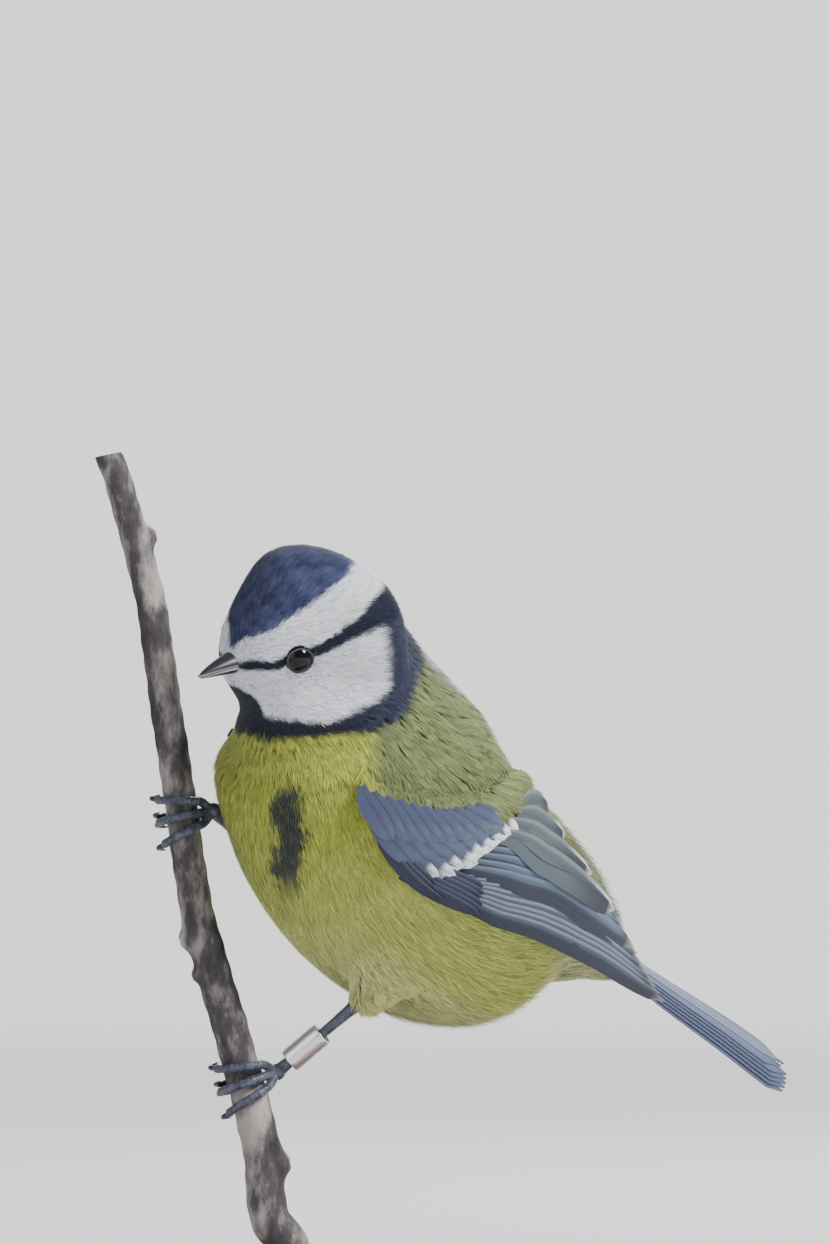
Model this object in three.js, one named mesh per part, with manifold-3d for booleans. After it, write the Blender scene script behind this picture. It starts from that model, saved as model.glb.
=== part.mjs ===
// A blue tit as a still, life-size museum model: it clings to a cut length of twig on a small display stand.
// Millimetres, +Z up, X to the right and Y away from the viewer; the origin is the middle of the base's underside.
import * as THREE from "three";
import { mergeVertices } from "three/addons/utils/BufferGeometryUtils.js";
import Module from "manifold-3d";

const wasm = await Module();
wasm.setup();

// Driving sizes
const GAP = 0.3; // between pieces that touch
const NECK_CUT = 6.0; // where the neck meets the torso, along the spine
const TAIL_ROOT = 40.0; // along the spine
const TAIL_LENGTH = 50.0;
const EYE_RADIUS = 2.15;
const BILL_LENGTH = 6.8;
const TARSUS_RADIUS = 0.7;
const TOE_RADIUS = 0.62;
const CLAW_RADIUS = 0.42;
const RING_LENGTH = 5.6;
const RING_WALL = 0.5;
const BASE_RADIUS = 38;
const BASE_HEIGHT = 5;
const ROD_RADIUS = 1.7;

const V = (x, y, z) => new THREE.Vector3(x, y, z);
const lerp = THREE.MathUtils.lerp;
const rad = THREE.MathUtils.degToRad;

// A smooth value from [position, value, value...] rows, by Catmull-Rom between them.
function table(rows, at) {
  const last = rows.length - 1;
  let i = rows.findIndex((row) => at < row[0]) - 1;
  if (at >= rows[last][0]) return rows[last].slice(1);
  if (i < 0) return rows[0].slice(1);
  const [a, b, c, d] = [Math.max(i - 1, 0), i, i + 1, Math.min(i + 2, last)].map((k) => rows[k]);
  const u = (at - b[0]) / (c[0] - b[0]);
  const span = c[0] - b[0];
  return b.slice(1).map((_, k) => {
    const j = k + 1;
    const m0 = a === b ? (c[j] - b[j]) : ((c[j] - a[j]) * span) / (c[0] - a[0]);
    const m1 = d === c ? (c[j] - b[j]) : ((d[j] - b[j]) * span) / (d[0] - b[0]);
    const u2 = u * u;
    const u3 = u2 * u;
    return (2 * u3 - 3 * u2 + 1) * b[j] + (u3 - 2 * u2 + u) * m0
      + (3 * u2 - 2 * u3) * c[j] + (u3 - u2) * m1;
  });
}

// Solids
function geometryOf(points, faces) {
  const geometry = new THREE.BufferGeometry().setFromPoints(points);
  geometry.setIndex(faces);
  return geometry;
}

function solid(geometry) {
  const bare = geometry.clone();
  bare.deleteAttribute("normal");
  bare.deleteAttribute("uv");
  const merged = mergeVertices(bare, 1e-4);
  const made = new wasm.Manifold(new wasm.Mesh({
    numProp: 3,
    vertProperties: new Float32Array(merged.attributes.position.array),
    triVerts: new Uint32Array(merged.index.array),
  }));
  if (made.volume() >= 0) return made;
  const index = merged.index.array;
  for (let k = 0; k < index.length; k += 3) [index[k + 1], index[k + 2]] = [index[k + 2], index[k + 1]];
  return new wasm.Manifold(new wasm.Mesh({
    numProp: 3,
    vertProperties: new Float32Array(merged.attributes.position.array),
    triVerts: new Uint32Array(index),
  }));
}

// The largest closed surface of a solid, with any sealed hollow filled.
function largest(made) {
  return made.decompose().reduce((a, b) => (b.volume() > a.volume() ? b : a));
}

function union(solids) {
  return solids.reduce((a, b) => a.add(b));
}

// A closed solid from rings of equal count, each end closed by a fan.
function loft(rings) {
  const n = rings[0].length;
  const points = rings.flat();
  const faces = [];
  for (let r = 0; r + 1 < rings.length; r++) {
    for (let k = 0; k < n; k++) {
      const a = r * n + k;
      const b = r * n + ((k + 1) % n);
      faces.push(a, b, b + n, a, b + n, a + n);
    }
  }
  for (const r of [0, rings.length - 1]) {
    const middle = rings[r].reduce((sum, p) => sum.add(p), V(0, 0, 0)).divideScalar(n);
    const m = points.push(middle) - 1;
    for (let k = 0; k < n; k++) {
      const a = r * n + k;
      const b = r * n + ((k + 1) % n);
      faces.push(...(r ? [a, b, m] : [b, a, m]));
    }
  }
  return solid(geometryOf(points, faces));
}

// A round tube along points, with a radius at each point.
function tube(points, radii, sides = 8, flat = 1) {
  const curve = new THREE.CatmullRomCurve3(points);
  let side = null;
  return loft(points.map((p, i) => {
    const along = curve.getTangent(i / (points.length - 1));
    if (!side) side = V(0.31, 0.9, 0.27).cross(along).normalize();
    side = side.clone().addScaledVector(along, -side.dot(along)).normalize();
    const up = along.clone().cross(side);
    return Array.from({ length: sides }, (_, k) => {
      const a = (2 * Math.PI * k) / sides;
      return p.clone().addScaledVector(side, radii[i] * Math.cos(a))
        .addScaledVector(up, radii[i] * flat * Math.sin(a));
    });
  }));
}

function meshOf(name, made, colour, roughness = 0.8, metalness = 0) {
  const m = largest(largest(made).simplify(0.03)).getMesh();
  const n = m.numProp;
  const points = [];
  for (let i = 0; i < m.numVert; i++) {
    points.push(V(m.vertProperties[i * n], m.vertProperties[i * n + 1], m.vertProperties[i * n + 2]));
  }
  const geometry = geometryOf(points, Array.from(m.triVerts));
  geometry.computeVertexNormals();
  const mesh = new THREE.Mesh(geometry, new THREE.MeshStandardMaterial({ color: colour, roughness, metalness }));
  mesh.name = name;
  return mesh;
}

// The spine: [distance from the neck, x, y, z of its line, turn of the back towards the viewer in degrees]
const SPINE = [
  [-14, -19.2, -9.5, 101.0, -46],
  [0, -12.4, -4.5, 90.6, -42],
  [10, -8.8, -0.8, 81.6, -30],
  [20, -3.2, 3.6, 74.0, -20],
  [30, 4.8, 8.4, 68.2, -12],
  [40, 13.8, 13.0, 63.0, -4],
  [52, 23.4, 19.0, 57.4, 8],
  [66, 33.0, 26.4, 50.8, 20],
  [80, 42.2, 33.6, 44.6, 25],
  [96, 52.6, 42.0, 37.0, 26],
];

// The frame of the spine at s: place, direction to the tail, the bird's left, and its back.
function spineAt(s) {
  const [x, y, z, turn] = table(SPINE, s);
  const before = table(SPINE, s - 0.5);
  const after = table(SPINE, s + 0.5);
  const along = V(after[0] - before[0], after[1] - before[1], after[2] - before[2]);
  if (along.length() < 0.4) along.set(9.6, 8.5, -7.9);
  along.normalize();
  const inPicture = V(-along.z, 0, along.x).normalize();
  const toViewer = along.clone().cross(inPicture);
  const back = inPicture.multiplyScalar(Math.cos(rad(turn))).addScaledVector(toViewer, Math.sin(rad(turn)));
  return { at: V(x, y, z), along, left: back.clone().cross(along).negate(), back };
}

// A point of the straight, symmetric body, carried onto the bent and twisted spine.
function onSpine(s, left, up) {
  const f = spineAt(s);
  return f.at.clone().addScaledVector(f.left, left).addScaledVector(f.back, up);
}

// The plumage outline: [distance along the spine, half width, height above, depth below]
const TORSO = [
  [-6, 7.4, 12.4, 10.4],
  [0, 11.6, 15.6, 14.4],
  [6, 16.6, 17.8, 17.6],
  [14, 20.4, 17.8, 20.0],
  [22, 21.8, 16.4, 21.8],
  [30, 21.2, 13.8, 22.0],
  [36, 18.8, 11.6, 20.2],
  [40, 15.8, 10.2, 17.4],
  [44, 12.2, 8.8, 11.4],
  [50, 8.4, 6.4, 7.2],
  [56, 5.6, 4.0, 4.4],
];
const TORSO_START = -6;
const TORSO_END = 56;

function torsoRing(s, grow, sides) {
  const [half, above, below] = table(TORSO, s);
  return Array.from({ length: sides }, (_, k) => {
    const a = (2 * Math.PI * k) / sides;
    const up = Math.cos(a) > 0 ? above : below;
    return onSpine(s, (half + grow) * Math.sin(a), (up + grow) * Math.cos(a));
  });
}

function torsoSolid(grow = 0, sides = 26, steps = 17) {
  const rings = [];
  for (let i = 0; i <= steps; i++) {
    rings.push(torsoRing(lerp(TORSO_START - grow, TORSO_END + grow, i / steps), grow, sides));
  }
  return loft(rings);
}

// The head, in its own frame: forward along the bill, to the bird's left, and up, from between the eyes.
const HEAD_AT = V(-17.7, -10.5, 96.8);
const HEAD_YAW = 40;
const HEAD_PITCH = 12;
const HEAD_ROLL = 16;

function headFrame() {
  const yaw = rad(HEAD_YAW);
  const pitch = rad(HEAD_PITCH);
  const roll = rad(HEAD_ROLL);
  const forward = V(-Math.cos(yaw) * Math.cos(pitch), -Math.sin(yaw) * Math.cos(pitch), -Math.sin(pitch));
  const left = V(Math.sin(yaw), -Math.cos(yaw), 0);
  const up = forward.clone().cross(left);
  return new THREE.Matrix4().makeBasis(
    forward,
    left.clone().multiplyScalar(Math.cos(roll)).addScaledVector(up, -Math.sin(roll)),
    up.clone().multiplyScalar(Math.cos(roll)).addScaledVector(left, Math.sin(roll)),
  ).setPosition(HEAD_AT);
}
const HEAD = headFrame();
const inHead = (forward, left, up) => V(forward, left, up).applyMatrix4(HEAD);

// The head outline: [forward, half width, top, bottom] in the head's frame, from the nape to the face
const SKULL = [
  [-15.0, 8.0, 5.2, -9.0],
  [-13.0, 11.0, 7.8, -11.8],
  [-9.0, 12.8, 10.2, -13.6],
  [-4.0, 11.4, 11.2, -13.8],
  [0.0, 8.6, 10.4, -12.4],
  [3.5, 6.7, 7.6, -9.8],
  [6.0, 5.0, 4.4, -6.8],
  [7.6, 3.2, 1.9, -4.8],
  [8.6, 1.8, 0.4, -3.4],
];

function headSolid(grow = 0, sides = 24) {
  const stops = [-15 - grow, -14, -12.4, -10, -7, -4, -1.5, 1, 3, 5, 6.6, 7.8, 8.6 + grow];
  return loft(stops.map((at) => {
    const [half, top, bottom] = table(SKULL, at);
    const middle = (top + bottom) / 2;
    const tall = (top - bottom) / 2;
    return Array.from({ length: sides }, (_, k) => {
      const a = (2 * Math.PI * k) / sides;
      const full = Math.pow(Math.abs(Math.sin(a)), 0.82) * Math.sign(Math.sin(a));
      return inHead(at, (half + grow) * full, middle + (tall + grow) * Math.cos(a));
    });
  }));
}

const EYE_AT = [1.7, 5.95, -0.3];

function ball(centre, radius, detail = 2) {
  const geometry = new THREE.IcosahedronGeometry(radius, detail);
  geometry.translate(centre.x, centre.y, centre.z);
  return solid(geometry);
}

// The lids, a rim round the eye
function lids(side) {
  const rim = new THREE.TorusGeometry(EYE_RADIUS + 0.15, 0.42, 6, 18);
  rim.rotateX(Math.PI / 2);
  rim.translate(EYE_AT[0], side * (EYE_AT[1] + 1.3), EYE_AT[2]);
  rim.applyMatrix4(HEAD);
  return solid(rim);
}

// The bill: two halves that meet along the line of the mouth
function billHalf(upper) {
  const root = 6.6;
  const sides = 12;
  const steps = 7;
  const rings = [];
  for (let i = 0; i <= steps; i++) {
    const u = i / steps;
    const taper = Math.pow(1 - u, 0.72) + 0.05;
    const droop = -1.5 - 0.75 * u * u;
    rings.push(Array.from({ length: sides }, (_, k) => {
      const a = Math.PI * (k / (sides - 1));
      const height = (upper ? 1.75 : -1.35) * taper * Math.sin(a);
      const mouth = (upper ? 0.5 : -0.5) * GAP;
      return inHead(
        root + (BILL_LENGTH + (upper ? 0.3 : 0)) * u,
        1.85 * taper * Math.cos(a),
        droop + mouth + height,
      );
    }));
  }
  return loft(rings);
}

// The sheet that a folded wing lies in: [distance along the spine, half width, height above, depth below]
const WING_SHEET = [
  [6, 19.6, 18.4, 18.4],
  [14, 22.2, 18.8, 20.2],
  [22, 23.4, 17.6, 21.0],
  [30, 22.8, 15.4, 20.4],
  [38, 19.8, 13.2, 16.8],
  [46, 15.6, 11.0, 12.2],
  [54, 11.6, 9.0, 8.8],
  [62, 8.8, 7.4, 6.8],
  [70, 6.6, 6.2, 5.2],
];

const WING_TOP = 57; // the wing's highest edge, degrees from the back
const FAR_WING = [56, 0.64]; // the right wing's highest edge and its width against the left one

// A place on the wing: s along the spine, t the angle from the back in degrees. side is 1 for the left wing.
function onWing(side) {
  const point = (s, t, out = 0) => {
    const [half, above, below] = table(WING_SHEET, s);
    const a = rad(t);
    const up = Math.cos(a) > 0 ? above : below;
    return onSpine(s, side * (half + out) * Math.sin(a), (up + out) * Math.cos(a));
  };
  return (s, turn) => {
    const t = side > 0 ? turn : FAR_WING[0] + FAR_WING[1] * (turn - WING_TOP);
    const at = point(s, t);
    const along = point(s + 0.5, t).sub(point(s - 0.5, t)).normalize();
    const across = point(s, t + 1).sub(point(s, t - 1)).divideScalar(2);
    const out = along.clone().cross(across).multiplyScalar(side).normalize();
    if (out.dot(at.clone().sub(spineAt(s).at)) < 0) out.negate();
    return { at, along, across, out };
  };
}

// The outline of the folded wing: [distance along the spine, lower edge, upper edge] in degrees from the back
const WING_EDGES = [
  [8, 126, 117],
  [13, 125, 107],
  [18, 123, 94],
  [22, 120, 78],
  [27, 115, 62],
  [33, 110, 59],
  [39, 104, 62],
  [46, 98, 66],
  [53, 91, 67],
  [58, 86, 69],
  [61, 80, 73],
];

// The plain folded wing: one thin sheet out to its tip
function wingSolid(side) {
  const place = onWing(side);
  const across = 6;
  return loft(WING_EDGES.map(([s, low, high], i) => {
    const thick = lerp(0.9, 0.45, i / (WING_EDGES.length - 1));
    const face = (out) => Array.from({ length: across + 1 }, (_, k) => {
      const spot = place(s, lerp(low, high, k / across));
      return spot.at.clone().addScaledVector(spot.out, out);
    });
    return [...face(thick), ...face(-thick).reverse()];
  }));
}

// The plain tail: one thin wedge out to its tip
function tailSolid() {
  return loft(Array.from({ length: 7 }, (_, i) => {
    const s = lerp(TAIL_ROOT, TAIL_ROOT + TAIL_LENGTH, i / 6);
    const half = lerp(2.6, 4.6, i / 6);
    return [[-half, -1], [0, -0.3], [half, -1], [half, -0.3], [0, 0.6], [-half, -0.3]]
      .map(([left, up]) => onSpine(s, left, up));
  }));
}

// The twig: [x, y, z, radius] from its lower cut to its upper cut
const TWIG = [
  [-16.4, -2.0, 16.3, 2.70],
  [-16.4, -2.0, 18.4, 2.65],
  [-18.7, -2.0, 21.5, 2.60],
  [-19.8, -2.0, 30.6, 2.50],
  [-22.0, -2.0, 39.7, 2.40],
  [-25.0, -2.0, 50.1, 2.30],
  [-26.9, -2.0, 56.5, 2.25],
  [-28.5, -2.0, 63.0, 2.15],
  [-30.4, -1.5, 76.0, 2.10],
  [-32.4, -1.0, 89.0, 2.05],
  [-34.3, -0.5, 102.0, 1.95],
  [-36.3, 0.0, 109.7, 1.85],
  [-38.5, 0.4, 117.5, 1.80],
  [-39.8, 0.6, 120.8, 1.75],
];

function twigAt(z) {
  const [x, y, radius] = table(TWIG.map((row) => [row[2], row[0], row[1], row[3]]), z);
  const above = table(TWIG.map((row) => [row[2], row[0], row[1]]), z + 1);
  const below = table(TWIG.map((row) => [row[2], row[0], row[1]]), z - 1);
  const axis = V(above[0] - below[0], above[1] - below[1], 2).normalize();
  const right = V(1, 0, 0).addScaledVector(axis, -axis.x).normalize();
  return { at: V(x, y, z), radius, axis, right, away: axis.clone().cross(right) };
}

function perchSolid() {
  const points = TWIG.map(([x, y, z]) => V(x, y, z));
  const pieces = [tube(points, TWIG.map((row) => row[3]), 14)];
  // Bud scars and the stub of a side shoot: [height, direction in degrees from the right, size]
  for (const [z, turn, size] of [[28.6, 0, 1.5], [109.7, 10, 1.5], [58.5, 180, 1.45], [53.9, 200, 1.0]]) {
    const t = twigAt(z);
    const reach = t.right.clone().multiplyScalar(Math.cos(rad(turn))).addScaledVector(t.away, Math.sin(rad(turn)));
    pieces.push(ball(t.at.clone().addScaledVector(reach, t.radius * 0.85), size, 1));
  }
  return union(pieces);
}

// A toe wraps the twig: angle from the right, negative towards the viewer, and a claw that hooks past its end.
function toe(height, drop, start, end, hub, grow) {
  const points = [];
  const radii = [];
  const steps = 7;
  points.push(hub);
  radii.push(TOE_RADIUS * 0.95);
  for (let i = 0; i <= steps; i++) {
    const u = i / steps;
    const t = twigAt(height + drop * u);
    const a = rad(lerp(start, end, u));
    const reach = t.radius + TOE_RADIUS + GAP + 0.05 + 0.12 * Math.sin(u * 12);
    points.push(t.at.clone()
      .addScaledVector(t.right, reach * Math.cos(a))
      .addScaledVector(t.away, reach * Math.sin(a)));
    radii.push(TOE_RADIUS * (1 - 0.12 * u));
  }
  return tube(points, radii.map((r) => r + grow), 7);
}

function claw(height, drop, end, bend, grow) {
  const points = [];
  const radii = [];
  const steps = 5;
  for (let i = 0; i <= steps; i++) {
    const u = i / steps;
    const t = twigAt(height + drop + 0.6 * Math.sign(drop || 1) * u);
    const a = rad(end + bend * (u - 0.12));
    const reach = t.radius + CLAW_RADIUS + GAP + 0.1 + 0.75 * Math.sin(Math.PI * Math.min(1, u * 1.05));
    points.push(t.at.clone()
      .addScaledVector(t.right, reach * Math.cos(a))
      .addScaledVector(t.away, reach * Math.sin(a)));
    radii.push(lerp(CLAW_RADIUS, 0.1, u * u));
  }
  return tube(points, radii.map((r) => r + grow), 6);
}

// Toes of a foot: [height step, drop along the twig, start angle, end angle, claw's bend]
const TOES = [
  [1.3, 1.2, -28, -168, -50],
  [0.0, -0.6, -28, -186, -52],
  [-1.3, -2.2, -28, -160, -50],
  [-0.2, 0.4, 40, 150, 48],
];

function footSolid(height, hubOut, grow = 0) {
  const t = twigAt(height);
  const hub = t.at.clone().addScaledVector(t.right, t.radius + GAP + hubOut);
  const pieces = [ball(hub, 1.15 + grow, 2)];
  for (const [step, drop, start, end, bend] of TOES) {
    pieces.push(toe(height + step, drop, start, end, hub, grow));
    pieces.push(claw(height + step, drop, end, bend, grow));
  }
  return { hub, foot: union(pieces) };
}

const LEFT_FOOT_Z = 39.6;
const RIGHT_FOOT_Z = 74.0;
const LEFT_ANKLE = V(-7.4, -4.0, 49.6);
const RIGHT_ANKLE = V(-16.3, 8.9, 65.7);

function shank(from, to, radius) {
  const steps = 4;
  const points = [];
  const radii = [];
  for (let i = 0; i <= steps; i++) {
    const u = i / steps;
    points.push(from.clone().lerp(to, u));
    radii.push(radius * (1.25 - 0.35 * Math.sin(Math.PI * u)));
  }
  return tube(points, radii, 8);
}

// The metal ring that the bird wears round its left shank
function ringSolid(ankle, hub) {
  const along = hub.clone().sub(ankle).normalize();
  const inner = TARSUS_RADIUS * 1.25 + GAP;
  const half = RING_LENGTH / 2;
  const profile = [[inner, -half], [inner + RING_WALL, -half], [inner + RING_WALL, half], [inner, half], [inner, -half]];
  const lathe = new THREE.LatheGeometry(profile.map(([r, h]) => new THREE.Vector2(r, h)), 24);
  lathe.applyQuaternion(new THREE.Quaternion().setFromUnitVectors(V(0, 1, 0), along));
  const middle = hub.clone().addScaledVector(along, -(half + 2.2));
  lathe.translate(middle.x, middle.y, middle.z);
  return solid(lathe);
}

// The feathered thigh, down to the heel
function thighSolid(side, ankle) {
  const hip = onSpine(27, side * 8, -9);
  const heel = ankle.clone().addScaledVector(ankle.clone().sub(hip).normalize(), side > 0 ? 1.2 : -2);
  return tube([hip, hip.clone().lerp(heel, 0.55), heel], [7.5, 5.4, 1.9], 12);
}

// Putting it together
const bird = new THREE.Group();
const COLOURS = {
  cap: 0x2c3f8c, green: 0x8c9c52, blue: 0x49618f, tail: 0x5b7cb8, horn: 0x2b2a33,
  shank: 0x3c4566, metal: 0xc6c8cc, bark: 0x8d8478, wood: 0x5a3d29, brass: 0xb08d4f,
};

const head = headSolid();
const headGrown = union([
  headSolid(GAP),
  ...[1, -1].map((side) => ball(inHead(EYE_AT[0], side * (EYE_AT[1] + 0.6), EYE_AT[2]), EYE_RADIUS + 1.2, 2)),
]);
const eyes = [1, -1].map((side) => ball(inHead(EYE_AT[0], side * EYE_AT[1], EYE_AT[2]), EYE_RADIUS, 2));
const eyeHoles = [1, -1].map((side) => ball(inHead(EYE_AT[0], side * EYE_AT[1], EYE_AT[2]), EYE_RADIUS + GAP, 2));
const bills = [billHalf(true), billHalf(false)];

// The head keeps clear of the eyes and the bill
function billHole() {
  const root = 6.3;
  const steps = 5;
  return loft(Array.from({ length: steps + 1 }, (_, i) => {
    const u = i / steps;
    const taper = Math.pow(1 - u * 0.5, 0.72) + 0.05;
    return Array.from({ length: 14 }, (_, k) => {
      const a = (2 * Math.PI * k) / 14;
      return inHead(root + 4 * u, (1.85 * taper + 0.5) * Math.cos(a), -1.5 + (1.75 * taper + 0.55) * Math.sin(a));
    });
  }));
}
let headCut = union([head, lids(1), lids(-1)]);
for (const hole of [...eyeHoles, billHole()]) headCut = headCut.subtract(hole);

// The neck and the torso, parted by a thin slab across the spine
const wholeTorso = torsoSolid();
const grownTorso = torsoSolid(GAP);
function slab(from, to, radius = 40) {
  return loft([from, to].map((s) => Array.from({ length: 12 }, (_, k) => {
    const a = (2 * Math.PI * k) / 12;
    const f = spineAt(NECK_CUT);
    return f.at.clone().addScaledVector(f.along, s - NECK_CUT)
      .addScaledVector(f.left, radius * Math.sin(a)).addScaledVector(f.back, radius * Math.cos(a));
  })));
}
const neck = wholeTorso.subtract(slab(NECK_CUT, NECK_CUT + 80)).subtract(headGrown);
const wings = [1, -1].map((side) => wingSolid(side));
const tail = tailSolid();
const legs = [
  { side: 1, name: "left", ankle: LEFT_ANKLE, z: LEFT_FOOT_Z },
  { side: -1, name: "right", ankle: RIGHT_ANKLE, z: RIGHT_FOOT_Z },
];

let torso = union([wholeTorso, ...legs.map((leg) => thighSolid(leg.side, leg.ankle))])
  .subtract(slab(NECK_CUT - 40, NECK_CUT + GAP)).subtract(headGrown);
for (const leg of legs) {
  leg.made = footSolid(leg.z, 1.6);
  const low = leg.made.hub.clone().addScaledVector(leg.ankle.clone().sub(leg.made.hub).normalize(), 1.15 + GAP);
  leg.shank = shank(leg.ankle, low, TARSUS_RADIUS);
  const top = leg.ankle.clone().add(leg.ankle.clone().sub(low).setLength(GAP));
  torso = torso.subtract(shank(top, leg.made.hub, TARSUS_RADIUS + GAP * 1.2)).subtract(footSolid(leg.z, 1.6, GAP).foot);
}

function add(name, made, colour, roughness, metalness) {
  bird.add(meshOf(name, made, colour, roughness, metalness));
}

// Each wing keeps clear of the torso, and the tail of both
const wingCuts = wings.map((wing) => wing.subtract(grownTorso).subtract(slab(NECK_CUT - 40, NECK_CUT + GAP)));
const tailCut = tail.subtract(grownTorso);

add("head", headCut, COLOURS.cap);
add("eye_left", eyes[0], COLOURS.horn, 0.1);
add("eye_right", eyes[1], COLOURS.horn, 0.1);
add("bill_upper", bills[0], COLOURS.horn, 0.4);
add("bill_lower", bills[1], COLOURS.horn, 0.4);
add("neck", neck, COLOURS.green);
add("torso", torso, COLOURS.green);
add("wing_left", wingCuts[0], COLOURS.blue);
add("wing_right", wingCuts[1], COLOURS.blue);
add("tail", tailCut, COLOURS.tail);
for (const leg of legs) {
  add(`foot_${leg.name}`, leg.made.foot, COLOURS.shank, 0.6);
  add(`tarsus_${leg.name}`, leg.shank, COLOURS.shank, 0.6);
  if (leg.side > 0) add("ring_left", ringSolid(leg.ankle, leg.made.hub), COLOURS.metal, 0.3, 1);
}
add("perch", perchSolid(), COLOURS.bark, 0.95);

// The stand: a round base and a short rod up to the twig's lower cut
const base = new THREE.LatheGeometry([
  [0, 0], [BASE_RADIUS - 0.8, 0], [BASE_RADIUS, 0.8], [BASE_RADIUS, BASE_HEIGHT - 1.4],
  [BASE_RADIUS - 1.4, BASE_HEIGHT], [0, BASE_HEIGHT],
].map(([r, h]) => new THREE.Vector2(r, h)), 48);
base.rotateX(Math.PI / 2);
add("stand_base", solid(base), COLOURS.wood, 0.5);
const foot = TWIG[0];
const rod = tube([V(foot[0], foot[1], BASE_HEIGHT + GAP), V(foot[0], foot[1], foot[2] - 0.9)], [ROD_RADIUS, ROD_RADIUS], 16);
add("stand_rod", rod, COLOURS.brass, 0.3, 1);

export default bird;
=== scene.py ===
"""A blue tit clings to a cut twig on a small round display stand.

The body is a line through the bird with an ellipse across it at every step; the head is a row of
wide ellipses along the bill's direction. One skin goes over both, and tufts and vanes of feather
stand on it. Lengths are worked out in millimetres and written to the meshes in metres.
"""

import math

import bmesh
import bpy
import numpy as np
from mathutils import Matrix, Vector


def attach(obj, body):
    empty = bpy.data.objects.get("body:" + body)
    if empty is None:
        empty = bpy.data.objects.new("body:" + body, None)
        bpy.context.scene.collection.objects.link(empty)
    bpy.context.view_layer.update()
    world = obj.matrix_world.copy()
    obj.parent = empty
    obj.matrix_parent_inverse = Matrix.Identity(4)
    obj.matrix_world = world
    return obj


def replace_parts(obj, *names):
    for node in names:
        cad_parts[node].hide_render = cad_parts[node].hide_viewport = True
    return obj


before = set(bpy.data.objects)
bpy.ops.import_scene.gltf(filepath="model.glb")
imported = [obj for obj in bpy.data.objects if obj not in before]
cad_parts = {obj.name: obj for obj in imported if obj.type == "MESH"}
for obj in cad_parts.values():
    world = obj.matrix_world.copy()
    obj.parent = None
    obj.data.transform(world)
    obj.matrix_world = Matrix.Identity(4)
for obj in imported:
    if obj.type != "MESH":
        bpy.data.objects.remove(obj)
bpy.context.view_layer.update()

# The bird's skin covers the head, the neck and the trunk down to the tail's root.
# It is thin skin over muscle, and the plumage stands on it, so it lies a little inside the outline.
MILLIMETRE = 0.001
# Each row of the body line is a distance towards the tail, the place there, and the back's turn.
BODY_LINE = np.array([
    [-14, -19.2, -9.5, 101.0, -46],
    [0, -12.4, -4.5, 90.6, -42],
    [10, -8.8, -0.8, 81.6, -30],
    [20, -3.2, 3.6, 74.0, -20],
    [30, 4.8, 8.4, 68.2, -12],
    [40, 13.8, 13.0, 63.0, -4],
    [52, 23.4, 19.0, 57.4, 8],
    [66, 33.0, 26.4, 50.8, 20],
    [80, 42.2, 33.6, 44.6, 25],
    [96, 52.6, 42.0, 37.0, 26],
])
# Each row of the trunk is a distance on that line, the half width, and the reach above and below it.
TRUNK_ROWS = np.array([
    [-6, 7.4, 12.4, 10.4],
    [0, 11.6, 15.6, 14.4],
    [6, 16.6, 17.8, 17.6],
    [14, 20.4, 17.8, 20.0],
    [22, 21.8, 16.4, 21.8],
    [30, 21.2, 13.8, 22.0],
    [36, 18.8, 11.6, 20.2],
    [40, 15.8, 10.2, 17.4],
    [44, 12.2, 8.8, 11.4],
    [50, 8.4, 6.4, 7.2],
    [56, 5.6, 4.0, 4.4],
])
# Each row of the head is a distance forward of the eyes, the half width, the top and the bottom.
HEAD_ROWS = np.array([
    [-15.0, 8.0, 5.2, -9.0],
    [-13.0, 11.0, 7.8, -11.8],
    [-9.0, 12.8, 10.2, -13.6],
    [-4.0, 11.4, 11.2, -13.8],
    [0.0, 8.6, 10.4, -12.4],
    [3.5, 6.7, 7.6, -9.8],
    [6.0, 5.0, 4.4, -6.8],
    [7.6, 3.2, 1.9, -4.8],
    [8.6, 1.8, 0.4, -3.4],
])
# Each thigh is a side of the bird, the place of its heel, and how far the flesh goes past that.
THIGHS = ((1, (-7.4, -4.0, 49.6), 1.2), (-1, (-16.3, 8.9, 65.7), -2.0))
HIP_AT, HIP_OUT, HIP_DOWN = 27.0, 8.0, 9.0
HEAD_PLACE = np.array([-17.7, -10.5, 96.8])
HEAD_TURNS = (40.0, 12.0, 16.0)
SKIN_CELL = 0.62


def smooth_rows(rows, at):
    """Values between rows: a cubic through each pair, with each row's slope that of its neighbours."""
    at = np.clip(np.asarray(at, float), rows[0, 0], rows[-1, 0])
    x, y = rows[:, 0], rows[:, 1:]
    slope = np.empty_like(y)
    slope[1:-1] = (y[2:] - y[:-2]) / (x[2:] - x[:-2])[:, None]
    slope[0] = (y[1] - y[0]) / (x[1] - x[0])
    slope[-1] = (y[-1] - y[-2]) / (x[-1] - x[-2])
    i = np.clip(np.searchsorted(x, at, side="right") - 1, 0, len(x) - 2)
    span = (x[i + 1] - x[i])[..., None]
    u = ((at - x[i])[..., None]) / span
    return ((2 * u**3 - 3 * u**2 + 1) * y[i] + (u**3 - 2 * u**2 + u) * span * slope[i]
            + (3 * u**2 - 2 * u**3) * y[i + 1] + (u**3 - u**2) * span * slope[i + 1])


def unit(vectors):
    """Each vector divided by its own length."""
    return vectors / np.maximum(np.linalg.norm(vectors, axis=-1, keepdims=True), 1e-9)


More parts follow.
